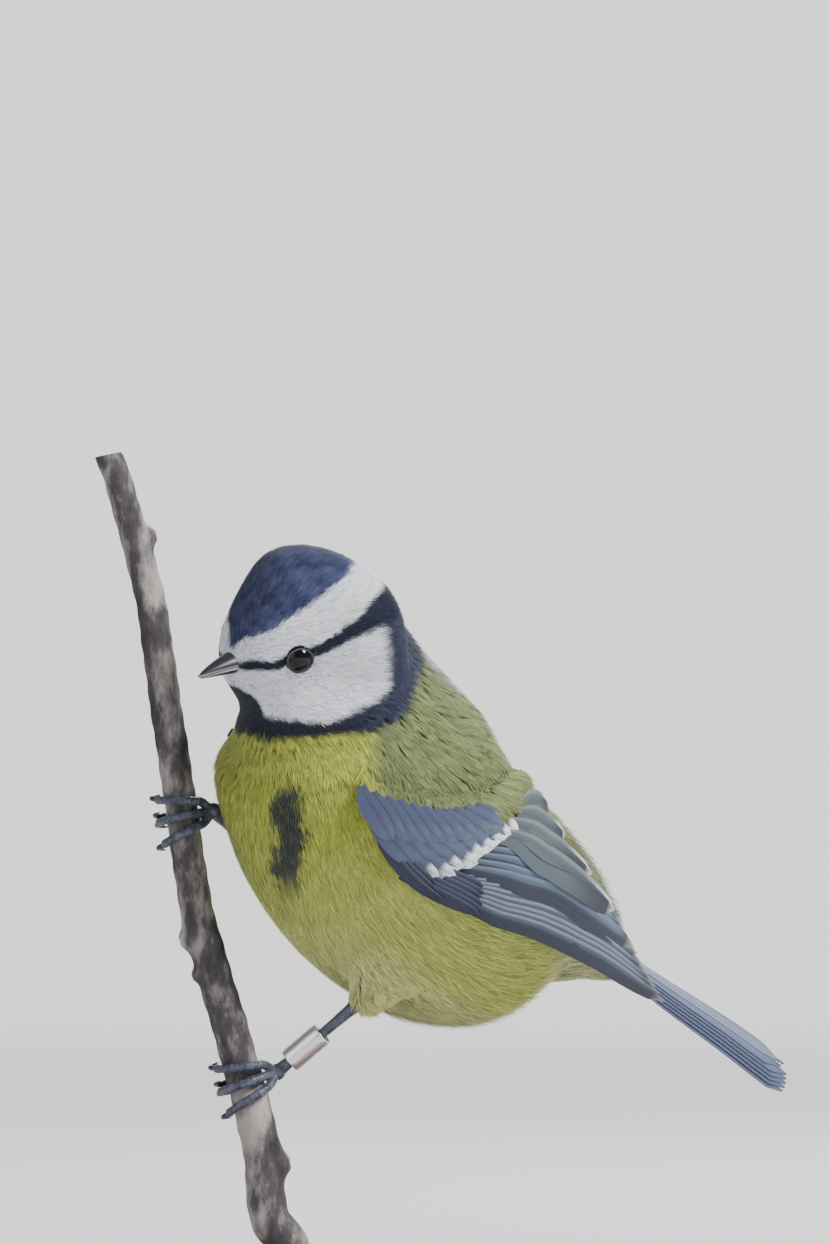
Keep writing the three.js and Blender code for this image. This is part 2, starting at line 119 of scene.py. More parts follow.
def line_frame(s):
    """Place, direction to the tail, the bird's left and its back, at distances s along the body line."""
    here = smooth_rows(BODY_LINE, s)
    ahead = smooth_rows(BODY_LINE, np.asarray(s) + 0.5)[..., :3]
    behind = smooth_rows(BODY_LINE, np.asarray(s) - 0.5)[..., :3]
    along = unit(ahead - behind)
    rise = unit(np.stack([-along[..., 2], 0 * along[..., 0], along[..., 0]], -1))
    near = np.cross(along, rise)
    turn = np.radians(here[..., 3])[..., None]
    back = rise * np.cos(turn) + near * np.sin(turn)
    return here[..., :3], along, -np.cross(back, along), back


def on_line(s, left, up):
    """A point of the straight body, left and up of its line, carried onto the bent and turned line."""
    at, _, side, back = line_frame(s)
    return at + side * np.asarray(left)[..., None] + back * np.asarray(up)[..., None]


def around(one, two, a):
    """Directions turned from one towards two: one by the angle's cosine plus two by its sine."""
    return one * np.cos(a)[..., None] + two * np.sin(a)[..., None]


def head_axes():
    """The head's forward, left and up directions, from its yaw, pitch and roll."""
    yaw, pitch, roll = np.radians(HEAD_TURNS)
    level = -math.cos(pitch)
    forward = np.array([level * math.cos(yaw), level * math.sin(yaw), -math.sin(pitch)])
    left = np.array([math.sin(yaw), -math.cos(yaw), 0.0])
    up = np.cross(forward, left)
    return np.array([
        forward,
        left * math.cos(roll) - up * math.sin(roll),
        up * math.cos(roll) + left * math.sin(roll),
    ])


HEAD_AXES = head_axes()


def from_head(points):
    """Points given as forward, left and up of the eyes' middle, in the model's own directions."""
    return HEAD_PLACE + np.asarray(points, float) @ HEAD_AXES


def to_head(points):
    """Points of the model as forward, left and up of the eyes' middle."""
    return (points - HEAD_PLACE) @ HEAD_AXES.T


def grid_faces(rows, columns, wrap):
    """Four-sided faces between neighbouring rows of points, joined round when wrap is set."""
    r = np.arange(rows - 1)[:, None] * columns
    c = np.arange(columns if wrap else columns - 1)[None]
    n = (c + 1) % columns
    return np.stack([r + c, r + n, r + columns + n, r + columns + c], -1).reshape(-1, 4)


def ring_grid(along, columns):
    """Two grids for rings: the values along, and equal steps of a whole turn round."""
    return np.meshgrid(along, np.linspace(0, 2 * np.pi, columns, endpoint=False), indexing="ij")


def new_mesh(name, points, faces):
    """A smooth object at the origin from points in millimetres and faces as lists of point numbers."""
    mesh = bpy.data.meshes.new(name)
    metres = np.asarray(points).reshape(-1, 3) * MILLIMETRE
    mesh.from_pydata(metres.tolist(), [], [list(map(int, face)) for face in faces])
    mesh.update()
    mesh.polygons.foreach_set("use_smooth", np.full(len(mesh.polygons), True))
    made = bpy.data.objects.new(name, mesh)
    bpy.context.scene.collection.objects.link(made)
    return made


def closed_rings(rings):
    """A closed skin over rings of points: faces between them and one many-sided face at each end."""
    rows, columns = rings.shape[:2]
    faces = grid_faces(rows, columns, True).tolist()
    faces.append(list(range(columns))[::-1])
    faces.append([(rows - 1) * columns + k for k in range(columns)])
    return rings.reshape(-1, 3), faces


def outward(obj):
    """Turns all faces of a closed mesh to point out."""
    mesh = bmesh.new()
    mesh.from_mesh(obj.data)
    bmesh.ops.remove_doubles(mesh, verts=mesh.verts, dist=1e-7)
    bmesh.ops.recalc_face_normals(mesh, faces=mesh.faces)
    mesh.to_mesh(obj.data)
    mesh.free()


def together(parts):
    """The points of several skins in one array, and their faces counted on from part to part."""
    starts = np.cumsum([0] + [len(points) for points, _ in parts])
    faces = [[k + start for k in face] for start, (_, part) in zip(starts, parts) for face in part]
    return np.concatenate([points for points, _ in parts]), faces


def body_outline():
    """Trunk and head as closed lofts at a fine step, joined by a grid of small cells and smoothed."""
    s, a = ring_grid(np.linspace(TRUNK_ROWS[0, 0], TRUNK_ROWS[-1, 0], 110), 96)
    half, above, below = np.moveaxis(smooth_rows(TRUNK_ROWS, s), -1, 0)
    reach = np.where(np.cos(a) > 0, above, below)
    trunk = closed_rings(on_line(s, half * np.sin(a), reach * np.cos(a)))
    f, a = ring_grid(np.linspace(HEAD_ROWS[0, 0], HEAD_ROWS[-1, 0], 60), 80)
    half, top, bottom = np.moveaxis(smooth_rows(HEAD_ROWS, f), -1, 0)
    wide = np.abs(np.sin(a)) ** 0.82 * np.sign(np.sin(a))
    head = closed_rings(from_head(
        np.stack([f, half * wide, (top + bottom) / 2 + (top - bottom) / 2 * np.cos(a)], -1)))
    parts = [trunk, head]
    u, a = ring_grid(np.linspace(0, 1, 30), 32)
    for side, heel, past in THIGHS:
        hip = on_line(HIP_AT, side * HIP_OUT, -HIP_DOWN)
        bone = unit(np.array(heel) - hip)
        reach = np.array(heel) + past * bone - hip
        wide = unit(np.cross(bone, (0.0, 1.0, 0.0)))
        radius = np.interp(u, [0, 0.55, 1], [7.5, 5.4, 2.1])[..., None]
        outer = around(wide, np.cross(bone, wide), a)
        parts.append(closed_rings(hip + reach * u[..., None] + radius * outer))
    raw = new_mesh("outline_raw", *together(parts))
    outward(raw)
    cells = raw.modifiers.new("cells", "REMESH")
    cells.mode = "VOXEL"
    cells.voxel_size = SKIN_CELL * MILLIMETRE
    made = bpy.data.meshes.new_from_object(raw.evaluated_get(bpy.context.evaluated_depsgraph_get()))
    bpy.data.objects.remove(raw)
    count = len(made.vertices)
    points = np.empty(count * 3)
    made.vertices.foreach_get("co", points)
    points = points.reshape(-1, 3) * 1000
    faces = [list(face.vertices) for face in made.polygons]
    edges = np.empty(len(made.edges) * 2, int)
    made.edges.foreach_get("vertices", edges)
    edges = edges.reshape(-1, 2)
    bpy.data.meshes.remove(made)
    degree = np.bincount(edges.ravel(), minlength=count)[:, None]
    head_near = np.linalg.norm(to_head(points) - (3.0, 0, 0), axis=1)
    strength = np.clip((head_near - 4.0) / 8.0, 0.08, 0.6)[:, None]
    for _ in range(16):
        total = np.zeros_like(points)
        np.add.at(total, edges[:, 0], points[edges[:, 1]])
        np.add.at(total, edges[:, 1], points[edges[:, 0]])
        points = points + strength * (total / degree - points)
    return points, faces


def vertex_normals(points, quad):
    """The mean of the cross products of each face's diagonals, at every corner of the mesh."""
    across = np.cross(points[quad[:, 2]] - points[quad[:, 0]], points[quad[:, 3]] - points[quad[:, 1]])
    normals = np.zeros_like(points)
    for corner in range(4):
        np.add.at(normals, quad[:, corner], across)
    return unit(normals)


outline_points, outline_faces = body_outline()
outline_quads = np.array([face if len(face) == 4 else face + face[-1:] for face in outline_faces])
outline_normals = vertex_normals(outline_points, outline_quads)

LINE_START, LINE_LENGTH = -14, 76
STATIONS = np.linspace(LINE_START, LINE_START + LINE_LENGTH, 305)
STATION_AT, STATION_ALONG, STATION_LEFT, STATION_BACK = line_frame(STATIONS)


def body_place(points):
    """Distance along the body line and turn round it from the back in degrees, the left side positive."""
    flat = points.reshape(-1, 3)
    nearest = np.concatenate([
        np.argmin(((part[:, None] - STATION_AT[None]) ** 2).sum(-1), axis=1)
        for part in np.array_split(flat, max(1, len(flat) // 4000))])
    off = flat - STATION_AT[nearest]
    left = (off * STATION_LEFT[nearest]).sum(-1)
    up = (off * STATION_BACK[nearest]).sum(-1)
    shape = points.shape[:-1]
    return STATIONS[nearest].reshape(shape), np.degrees(np.arctan2(left, up)).reshape(shape)


def headness(points):
    """1 on the head and 0 on the trunk, by how far a point lies outside an ellipsoid round the head."""
    near = to_head(points) - (-4.0, 0.0, -1.0)
    size = np.sqrt((near[..., 0] / 12.5) ** 2 + (near[..., 1] / 12.6) ** 2 + (near[..., 2] / 12.3) ** 2)
    return 1 - step(1.02, 1.3, size)


def step(low, high, value):
    """A smooth rise from 0 at low to 1 at high: three u squared less two u cubed."""
    u = np.clip((value - low) / (high - low), 0, 1)
    return u * u * (3 - 2 * u)


def blend(under, over, share):
    """One colour laid over another by a share from 0 to 1."""
    return under + (np.asarray(over) - under) * share[..., None]


def ripple(points, size, seed):
    """A soft uneven number from -1 to 1: the mean of four crossed waves of about the given size."""
    k = 2 * np.pi / size
    draw = np.random.default_rng(seed)
    total = 0
    for _ in range(4):
        direction = unit(draw.normal(size=3))
        total = total + np.sin(points @ direction * k * draw.uniform(0.7, 1.4) + draw.uniform(0, 6.28))
    return total / 4


def screen(red, green, blue):
    """A colour from 0 to 255 on screen as linear light: a power of 2.4 above a short straight part."""
    c = np.array([red, green, blue]) / 255
    return np.where(c <= 0.04045, c / 12.92, ((c + 0.055) / 1.055) ** 2.4)


# The markings' edges: each pair is an angle round the head from the bill, and the edge's rise in
# degrees or its reach in millimetres there. The mantle's edge is a turn for each distance on the line.
MARK_CENTRE = (-4.0, 0.0, 0.0)
CAP_EDGE = np.array([[0, 3], [4, 7], [9, 12], [25, 20], [47, 36], [79, 49], [130, 57], [180, 54]], float)
STRIPE_LINE = np.array([[0, -8], [16, -5], [31, -4], [41, 0], [64, 6], [86, 17], [111, 25], [180, 26]], float)
CHEEK_REACH = np.array([[0, 13.0], [12, 13.0], [20, 13.1], [43, 13.5], [68, 14.4], [87, 14.1], [104, 14.2],
                        [112, 13.5], [125, 12.4], [180, 12.0]])
COLLAR_REACH = np.array([[0, 15.0], [11, 15.2], [49, 15.5], [72, 16.2], [86, 17.2], [103, 17.7], [127, 16.6],
                         [151, 16.9], [180, 16.5]])
MANTLE_EDGE = np.array([[-14, 110], [3, 111], [9, 116], [12, 111], [17.5, 99], [25, 93], [36, 80],
                        [52, 62]], float)


def plumage(points):
    """The markings: bands on the head by angle and reach, fields on the trunk by distance and turn."""
    local = to_head(points) - MARK_CENTRE
    reach = np.linalg.norm(local, axis=-1)
    wave, fine = ripple(points, 3.6, 5), ripple(points, 1.3, 9)
    round_head = np.degrees(np.arctan2(np.abs(local[..., 1]), local[..., 0]))
    rise = np.degrees(np.arctan2(local[..., 2], np.hypot(local[..., 0], local[..., 1]))) + 0.9 * wave
    s, turn = body_place(points)
    side = np.abs(turn)
    colour = blend(screen(170, 176, 78), screen(188, 194, 108), step(9, 20, s + 2 * wave) * 0.85)
    colour = blend(colour, screen(214, 215, 160), step(15, 26, s) * step(138, 158, side) * 0.6)
    colour = blend(colour, screen(214, 215, 172), step(38, 47, s) * 0.7)
    edge = smooth_rows(MANTLE_EDGE, s)[..., 0] + 3 * wave + 1.5 * fine
    green = blend(screen(114, 124, 76), screen(132, 140, 96), 0.5 + 0.5 * wave)
    colour = blend(colour, green, (1 - step(-5, 5, side - edge)) * (1 - step(46, 54, s)))
    colour = blend(colour, screen(124, 136, 108), (1 - step(50, 74, side)) * step(34, 44, s))
    full_turn = np.where(turn > 0, turn, turn + 360)
    streak_middle = np.interp(s, [4, 6, 9.2, 12, 16], [153, 155, 158, 166, 171])
    streak_turn = np.abs(full_turn - streak_middle) + 5 * fine + 2 * wave
    streak = 1 - step(-3, 3, streak_turn - np.interp(s, [4, 8, 12, 16], [4, 7.5, 9, 4]))
    streak = streak * step(4, 6, s + fine) * (1 - step(12.5, 16, s + 1.5 * fine))
    colour = blend(colour, screen(36, 42, 66), streak * 0.9)
    nape = (1 - step(30, 44, side + 3 * wave)) * (1 - step(4.5, 8.5, s))
    colour = blend(colour, screen(168, 178, 172), nape * 0.8)
    collar = smooth_rows(COLLAR_REACH, round_head)[..., 0] + 0.25 * wave
    dark = 1 - step(-0.5, 0.5, reach - collar + 0.2 * fine)
    colour = blend(colour, blend(screen(34, 37, 52), screen(52, 56, 76), step(70, 100, round_head)), dark)
    white = screen(228, 231, 240)
    stripe_line = smooth_rows(STRIPE_LINE, round_head)[..., 0]
    cheek = smooth_rows(CHEEK_REACH, round_head)[..., 0]
    chin = np.interp(round_head, [0, 12, 20, 32], [-20, -27, -38, -62])
    pale = (1 - step(-0.35, 0.35, reach - cheek + 0.18 * fine)) * (1 - step(102, 110, round_head + 2 * fine))
    pale = pale * step(-3, 2, rise - chin + 1.5 * fine)
    above = step(-1, 2, rise - stripe_line) * (1 - step(-0.6, 0.6, reach - np.maximum(cheek + 0.8, 13.4)))
    colour = blend(colour, white, np.maximum(pale, above))
    colour = blend(colour, screen(196, 203, 216), np.maximum(pale, above) * step(0.2, 0.9, fine) * 0.5)
    half = np.interp(round_head, [0, 31, 62, 90, 120, 180], [2.6, 3.6, 4.6, 6.5, 9, 9])
    stripe = 1 - step(-1.6, 1.6, np.abs(rise - stripe_line) - half + 0.6 * fine)
    colour = blend(colour, screen(32, 36, 54), stripe * dark)
    cap_edge = smooth_rows(CAP_EDGE, round_head)[..., 0]
    cap = step(-2.5, 2.5, rise - cap_edge + 1.2 * fine)
    crown = blend(screen(42, 48, 82), screen(80, 87, 124), np.clip(0.45 + 0.5 * wave + 0.35 * fine, 0, 1))
    return blend(colour, crown, cap)


def coat_depth(points):
    """How far the skin lies inside the outline: 0.4 mm on the face, rising to 1.5 mm on the trunk."""
    return 1.5 - 1.1 * headness(points)


def paint(obj, colours):
    """Writes one colour per mesh point as the attribute that the material reads."""
    layer = obj.data.color_attributes.new("plumage", "FLOAT_COLOR", "POINT")
    flat = np.concatenate([colours.reshape(-1, 3), np.ones((colours.size // 3, 1))], 1)
    layer.data.foreach_set("color", flat.astype(np.float32).ravel())


def new_material(name, roughness, metallic, specular, colour=(0.8, 0.8, 0.8)):
    """A named material of one linear colour, its main shader and its node tree."""
    made = bpy.data.materials.new(name)
    made.use_nodes = True
    tree = made.node_tree
    shader = tree.nodes["Principled BSDF"]
    shader.inputs["Base Color"].default_value = (*colour, 1)
    shader.inputs["Roughness"].default_value = roughness
    shader.inputs["Metallic"].default_value = metallic
    shader.inputs["Specular IOR Level"].default_value = specular
    return made, shader, tree


def painted_colour(tree):
    """The colour painted on the mesh, as an output for other nodes."""
    painted = tree.nodes.new("ShaderNodeAttribute")
    painted.attribute_name = "plumage"
    return painted.outputs["Color"]


def plumage_material(name, roughness):
    """Soft feather: the painted colour with a faint sheen at grazing angles."""
    made, shader, tree = new_material(name, roughness, 0.0, 0.25)
    tree.links.new(painted_colour(tree), shader.inputs["Base Color"])
    shader.inputs["Sheen Weight"].default_value = 0.15
    shader.inputs["Sheen Roughness"].default_value = 0.5
    return made


skin_points = outline_points - outline_normals * coat_depth(outline_points)[:, None]
skin = new_mesh("skin", skin_points, outline_faces)
# The skin takes the markings at 0.82 of their brightness: painted shade for the gaps between the tufts.
paint(skin, plumage(outline_points) * 0.82)
skin.data.materials.append(plumage_material("skin_colour", 0.9))
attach(skin, "root")
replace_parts(skin, "head", "neck", "torso")

# The coat is the small body feathers: each is a loose fan of fine barbs that grows from the skin.
# They lie along the body like tiles, short on the face and long and downy on the flanks.
EYE_PLACE = (1.7, 5.95, -0.3)
EYES_AT = from_head([EYE_PLACE, (EYE_PLACE[0], -EYE_PLACE[1], EYE_PLACE[2])])
BILL_ROOT = (8.0, 0.0, -1.6)
FACE_PARTING = (8.5, 0.0, -1.5)
# A folded wing's upper edge is a turn from the back. The far wing starts at its own turn and is narrower.
WING_TOP = 57.0
FAR_WING = (56.0, 0.64)
COVER_AT = [8, 13, 18, 22, 27, 33, 39, 46, 53, 58]
COVER_LOW = [126, 125, 123, 120, 115, 110, 104, 98, 91, 86]
COVER_HIGH = [117, 107, 94, 78, 62, 59, 62, 66, 67, 69]
TRUNK_TUFTS = 4900
BODY_BARB = 0.21
HEAD_BARB = 0.15
PATCH = 0.003


def coat_flow(points, normals):
    """The lie of the feathers: away from the bill on the head, towards the tail on the trunk."""
    s, _ = body_place(points)
    along = np.stack([np.interp(s, STATIONS, STATION_ALONG[:, k]) for k in range(3)], -1)
    from_bill = unit(points - from_head(FACE_PARTING))
    share = headness(points)[..., None]
    flow = along * (1 - share) + from_bill * share
    flow = flow - normals * (flow * normals).sum(-1, keepdims=True)
    return unit(flow)


def scatter(count, weight, seed):
    """Roots spread over the outline by area times weight: a face is drawn, then a point within it."""
    draw = np.random.default_rng(seed)
    corners = outline_points[outline_quads]
    diagonals = np.cross(corners[:, 2] - corners[:, 0], corners[:, 3] - corners[:, 1])
    chance = 0.5 * np.linalg.norm(diagonals, axis=1) * weight(corners.mean(1))
    chosen = draw.choice(len(corners), count, p=chance / chance.sum())
    u, v = draw.random((2, count, 1))

    def within(c):
        """A value inside a face from its four corners': along two edges by u, then between them by v."""
        return (c[:, 0] * (1 - u) + c[:, 1] * u) * (1 - v) + (c[:, 3] * (1 - u) + c[:, 2] * u) * v

    return within(corners[chosen]), unit(within(outline_normals[outline_quads[chosen]]))


def tufts(name, roots, normals, length, spread, lift, seed, barbs, segments, barb, lie=None):
    """Fans of barbs. A barb leaves its root at a fan angle and rises by 2.2 lift (u less 0.62 u squared).

    Its width falls by 0.82 of u to the power 2.2, and its last stretch ends in a point.
    """
    draw = np.random.default_rng(seed)
    n = len(roots)
    flow = coat_flow(roots, normals) if lie is None else lie
    side = np.cross(normals, flow)
    sway = draw.normal(0, 0.14, (n, 1))
    flow, side = unit(flow + side * sway), unit(side - flow * sway)
    depth = coat_depth(roots)[:, None]
    base = roots - normals * depth
    fan = np.linspace(-1, 1, barbs)[None, :] + draw.normal(0, 0.12, (n, barbs))
    angle = fan * spread[:, None]
    reach = length[:, None] * (1 - 0.22 * fan**2) * draw.uniform(0.8, 1.12, (n, barbs))
    u = np.linspace(0, 1, segments + 1)
    heading = around(flow[:, None], side[:, None], angle)
    across = around(side[:, None], -flow[:, None], angle)
    rise = (lift[:, None] * draw.uniform(0.75, 1.3, (n, barbs)))[..., None] * (u - 0.62 * u**2) * 2.2
    centre = (base[:, None, None] + heading[:, :, None] * (reach[..., None] * u)[..., None]
              + normals[:, None, None] * (rise * reach[..., None] + depth[:, None] * 0.25 * u)[..., None])
    width = barb * np.minimum(1.0, 0.45 + length / 4)[:, None, None] * (1 - 0.82 * u**2.2)
    left = centre - across[:, :, None] * width[..., None] * 0.5
    right = centre + across[:, :, None] * width[..., None] * 0.5
    points = np.stack([left[:, :, :-1], right[:, :, :-1]], 3).reshape(n, barbs, segments * 2, 3)
    points = np.concatenate([points, centre[:, :, -1:]], 2)
    per = segments * 2 + 1
    quads = np.array([[2 * k, 2 * k + 1, 2 * k + 3, 2 * k + 2] for k in range(segments - 1)])
    tris = np.concatenate([quads[:, [0, 1, 2]], quads[:, [0, 2, 3]],
                           [[2 * segments - 2, 2 * segments - 1, 2 * segments]]])
    faces = (np.arange(n * barbs)[:, None, None] * per + tris[None]).reshape(-1, 3)
    colour = plumage(roots + flow * (0.55 * length[:, None]))
    shade = draw.normal(1, 0.09, (n, 1, 1)) * draw.normal(1, 0.20, (n, barbs, 1)).clip(0.5, 1.5)
    steps = np.concatenate([np.repeat(u[:-1], 2), u[-1:]])
    # Each barb runs from 0.84 of its colour at the root to 1.10 at the tip: painted shade towards the root.
    # The factors per tuft and per barb are random tone.
    tone = shade[..., None] * (0.84 + 0.26 * steps)[None, None, :, None]
    colours = np.clip(colour[:, None, None] * tone, 0.002, 0.95)
    made = new_mesh(name, points, faces)
    paint(made, colours)
    over = np.tile(np.concatenate([np.tile([0.0, 1.0], segments), [0.5]]), barbs)
    root_map(made, roots, faces, over, np.tile(steps, barbs))
    return made


def root_map(obj, roots, faces, over, along):
    """The map for baking: each tuft is a small patch at its root's place on the unrolled skin."""
    corner = faces.ravel()
    tuft, point = np.divmod(corner, len(over))
    place = skin_unwrap(roots)[tuft]
    place[:, 0] += PATCH * (over[point] - 0.5)
    place[:, 1] += PATCH * (along[point] - 0.5)
    layer = obj.data.uv_layers.new(name="OFBake")
    layer.data.foreach_set("uv", np.clip(place, 0, 1).astype(np.float32).ravel())


def skin_unwrap(points):
    """The skin unrolled: the trunk by turn and distance in one band, the head by two angles in another."""
    s, turn = body_place(points)
    local = to_head(points) - MARK_CENTRE
    round_head = np.arctan2(local[..., 1], -local[..., 2]) / (2 * np.pi) + 0.5
    down_head = np.arccos(np.clip(local[..., 0] / np.linalg.norm(local, axis=-1), -1, 1)) / np.pi
    on_head = headness(points) > 0.5
    u = np.where(on_head, round_head, turn / 360 + 0.5)
    v = np.where(on_head, 0.02 + 0.3 * down_head, 0.36 + 0.6 * (s - LINE_START) / LINE_LENGTH)
    return np.stack([0.01 + 0.98 * u, v], -1)


def wing_cover(points):
    """True where a folded wing lies over the trunk, so that no long tuft grows there."""
    s, turn = body_place(points)
    low = np.interp(s, COVER_AT, COVER_LOW)
    high = np.interp(s, COVER_AT, COVER_HIGH)
    side = np.where(turn > 0, turn, WING_TOP + (np.abs(turn) - FAR_WING[0]) / FAR_WING[1])
    return (s > 9) & (side > high + 26) & (side < low - 4)


def eye_distance(points):
    """Distance to the nearer eye's middle."""
    return np.linalg.norm(points[..., None, :] - EYES_AT, axis=-1).min(-1)


def near_bill(points):
    """Distance from the bill's root."""
    return np.linalg.norm(points - from_head(BILL_ROOT), axis=-1)


coat_colour = plumage_material("plumage_fine", 0.85)
quality = 1.0
for part, count, seed in (("coat_head", 12500, 21), ("coat_crown", 10500, 22)):
    def on_part(p, top=part == "coat_crown"):
        """The chance of a tuft: headness above a level through the brow, or below it."""
        return headness(p) * np.where((to_head(p)[..., 2] > 1.0) == top, 1.0, 0.0) + 1e-9

    roots, normals = scatter(int(count * quality * 1.2), on_part, seed)
    far_enough = (eye_distance(roots) > 2.15) & (near_bill(roots) > 2.3) & (headness(roots) > 0.02)
    roots, normals = roots[far_enough][:int(count * quality)], normals[far_enough][:int(count * quality)]
    length = 0.8 + 0.10 * np.clip(near_bill(roots) - 2.5, 0, 14)
    length = np.minimum(length, 0.40 + 0.42 * np.maximum(eye_distance(roots) - 2.0, 0))
    lift = 0.10 + 0.06 * step(6, 14, near_bill(roots))
    coat = tufts(part, roots, normals, length, np.full(len(roots), 0.26), lift, seed + 40, 5, 2, HEAD_BARB)
    coat.data.materials.append(coat_colour)
    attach(coat, "root")

for part, turn_low, turn_high, seed in [
    ("coat_back", 0, 58, 31),
    ("coat_side", 58, 112, 32),
    ("coat_flank", 112, 138, 33),
    ("coat_belly", 138, 160, 35),
    ("coat_breast", 160, 181, 34),
]:
    def belongs(p, low=turn_low, high=turn_high):
        """The chance of a tuft: even between two turns off the head, and small under a wing."""
        side = np.abs(body_place(p)[1])
        here = (side >= low) & (side < high) & (headness(p) < 0.98)
        return here * np.where(wing_cover(p), 0.03, 1.0) + 1e-9

    roots, normals = scatter(int(TRUNK_TUFTS * quality), belongs, seed)
    s, turn = body_place(roots)
    side = np.abs(turn)
    down = step(105, 140, side) * step(14, 32, s)
    length = 3.0 + 2.0 * step(2, 20, s) + 2.4 * down - 1.0 * step(0.2, 1.0, headness(roots))
    length = length * np.where(wing_cover(roots), 0.35, 1.0) * (1 - 0.5 * step(42, 50, s))
    under_wing = step(24, 32, s) * (1 - step(50, 54, s)) * step(38, 52, side) * (1 - step(84, 98, side))
    length = length * (1 + 0.5 * under_wing)
    heel = np.min([np.linalg.norm(roots - place, axis=-1) for _, place, _ in THIGHS], axis=0)
    length = length * (0.4 + 0.6 * step(4, 15, heel))
    lift = 0.09 + 0.10 * down + 0.22 * under_wing
    coat = tufts(part, roots, normals, length, 0.20 + 0.10 * down, lift, seed + 40, 8, 3, BODY_BARB)
    coat.data.materials.append(coat_colour)
    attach(coat, "root")

# The wings are folded: long flight feathers, four inner ones over them, and rows of coverts.
# Each feather is a stiff vane on a thin dark shaft, blue on its outer web and dusky on its inner one.
WING_ROWS = np.array([
    [6, 19.6, 18.4, 18.4],
    [14, 22.2, 18.8, 20.2],
    [22, 23.4, 17.6, 21.0],
    [30, 22.8, 15.4, 20.4],
    [38, 19.8, 13.2, 16.8],
    [46, 15.6, 11.0, 12.2],
    [54, 11.6, 9.0, 8.8],
    [62, 8.8, 7.4, 6.8],
    [70, 6.6, 6.2, 5.2],
])
# Each row is a kind of feather, how many there are, the first one's root and tip and the last one's,
# as distance and turn, the half width, and how high it lies over the wing's sheet.
WING_VANES = [
    ("primary", 8, (17, 124, 61, 80), (21, 112, 47, 67), 1.6, 0.05),
    ("secondary", 6, (20.5, 108, 50, 71), (22, 92, 44, 67), 1.8, 0.28),
    ("tertial", 4, (22.5, 90, 43.5, 67), (24, 72, 29, 58), 2.6, 0.55),
    ("primary_covert", 6, (13, 124, 27, 116), (15, 116, 25, 108), 1.3, 0.40),
    ("alula", 3, (11, 124, 22, 120), (12, 121, 20, 117), 1.1, 0.68),
    ("greater_covert", 9, (10, 121, 20.5, 114.5), (16.5, 88, 24.5, 84), 1.8, 0.68),
    ("median_covert", 8, (9, 122, 16.5, 118), (15.5, 92, 22, 87), 1.8, 0.92),
    ("lesser_covert", 8, (7, 122, 13, 120), (14, 99, 19, 96), 1.7, 1.14),
]


VANE_THICKNESS = 0.10
FAR_TIP = 56.0
FAR_TERTIAL_BACK, FAR_TERTIAL_TURN = 1.5, 16


def wing_sheet(s, t, side):
    """A place on the folded wing's sheet, its way out, and its steps along the body and round it."""
    def place(s, t):
        """A place on the sheet: the wing's ellipse at s, at the turn t, drawn in at the wrist."""
        half, above, below = np.moveaxis(smooth_rows(WING_ROWS, s), -1, 0)
        half = half - (0.5 if side > 0 else 1.5) * (1 - step(7, 16, s))
        a = np.radians(t)
        return on_line(s, side * half * np.sin(a), np.where(np.cos(a) > 0, above, below) * np.cos(a))

    t = t if side > 0 else FAR_WING[0] + FAR_WING[1] * (t - WING_TOP)
    at = place(s, t)
    along = unit(place(s + 0.5, t) - place(s - 0.5, t))
    across = (place(s, t + 1) - place(s, t - 1)) / 2
    out = unit(np.cross(along, across)) * side
    return at, out * np.sign((out * (at - line_frame(s)[0])).sum(-1, keepdims=True)), along, across


def vane(points_at, half_width, lift, outer, tip=0.5):
    """A feather: a line over a sheet, widened to both sides, arched, its outer edge the narrower.

    The width is half a superellipse towards the tip and tapers in towards the root.
    """
    u, v = np.meshgrid(np.linspace(0, 1, 15), np.linspace(-1, 1, 9), indexing="ij")
    at, out, ahead = points_at(u[:, 0])
    side = unit(np.cross(out, ahead))
    ending = np.maximum(1 - np.clip((u - 1 + tip) / tip, 0, 1) ** 2.4, 0) ** 0.5
    width = half_width * (0.5 + 0.5 * step(0, 0.35, u)) * ending
    web = np.where(v * outer > 0, 0.62, 1.0)
    off = v * web * width
    height = lift + 0.05 * (1 - v**2) + 0.12 * v * outer - 0.12 * step(0.6, 1.0, u)
    points = at[:, None] + side[:, None] * off[..., None] + out[:, None] * height[..., None]
    return points, u, v


def join_vanes(name, vanes):
    """One mesh from many vanes of equal grids, with the vane's own lengthwise and crosswise map."""
    rows, columns = vanes[0][0].shape[:2]
    faces = grid_faces(rows, columns, False)
    count = rows * columns
    all_faces = (np.arange(len(vanes))[:, None, None] * count + faces[None]).reshape(-1, 4)
    made = new_mesh(name, np.concatenate([v[0].reshape(-1, 3) for v in vanes]), all_faces)
    paint(made, np.concatenate([v[3].reshape(-1, 3) for v in vanes]))
    uv = np.concatenate([np.stack([v[1].ravel(), v[2].ravel() * 0.5 + 0.5], -1) for v in vanes])
    layer = made.data.uv_layers.new(name="feather")
    layer.data.foreach_set("uv", uv[all_faces.ravel()].astype(np.float32).ravel())
    wall = made.modifiers.new("web", "SOLIDIFY")
    wall.thickness = VANE_THICKNESS * MILLIMETRE
    wall.offset = 0
    crisp = made.modifiers.new("crisp_edge", "EDGE_SPLIT")
    crisp.split_angle = math.radians(40)
    return made


def add_node(tree, kind, values, feeds):
    """A node with its own values, and with the outputs that feed its other sockets."""
    made = tree.nodes.new("ShaderNode" + kind)
    for socket, value in values.items():
        made.inputs[socket].default_value = value
    for socket, output in feeds.items():
        tree.links.new(output, made.inputs[socket])
    return made


def relief(shader, tree, height, strength, depth):
    """A slight bump over the shader from a height from 0 to 1, its depth in millimetres."""
    size = {"Strength": strength, "Distance": depth * MILLIMETRE}
    raised = add_node(tree, "Bump", size, {"Height": height})
    tree.links.new(raised.outputs["Normal"], shader.inputs["Normal"])


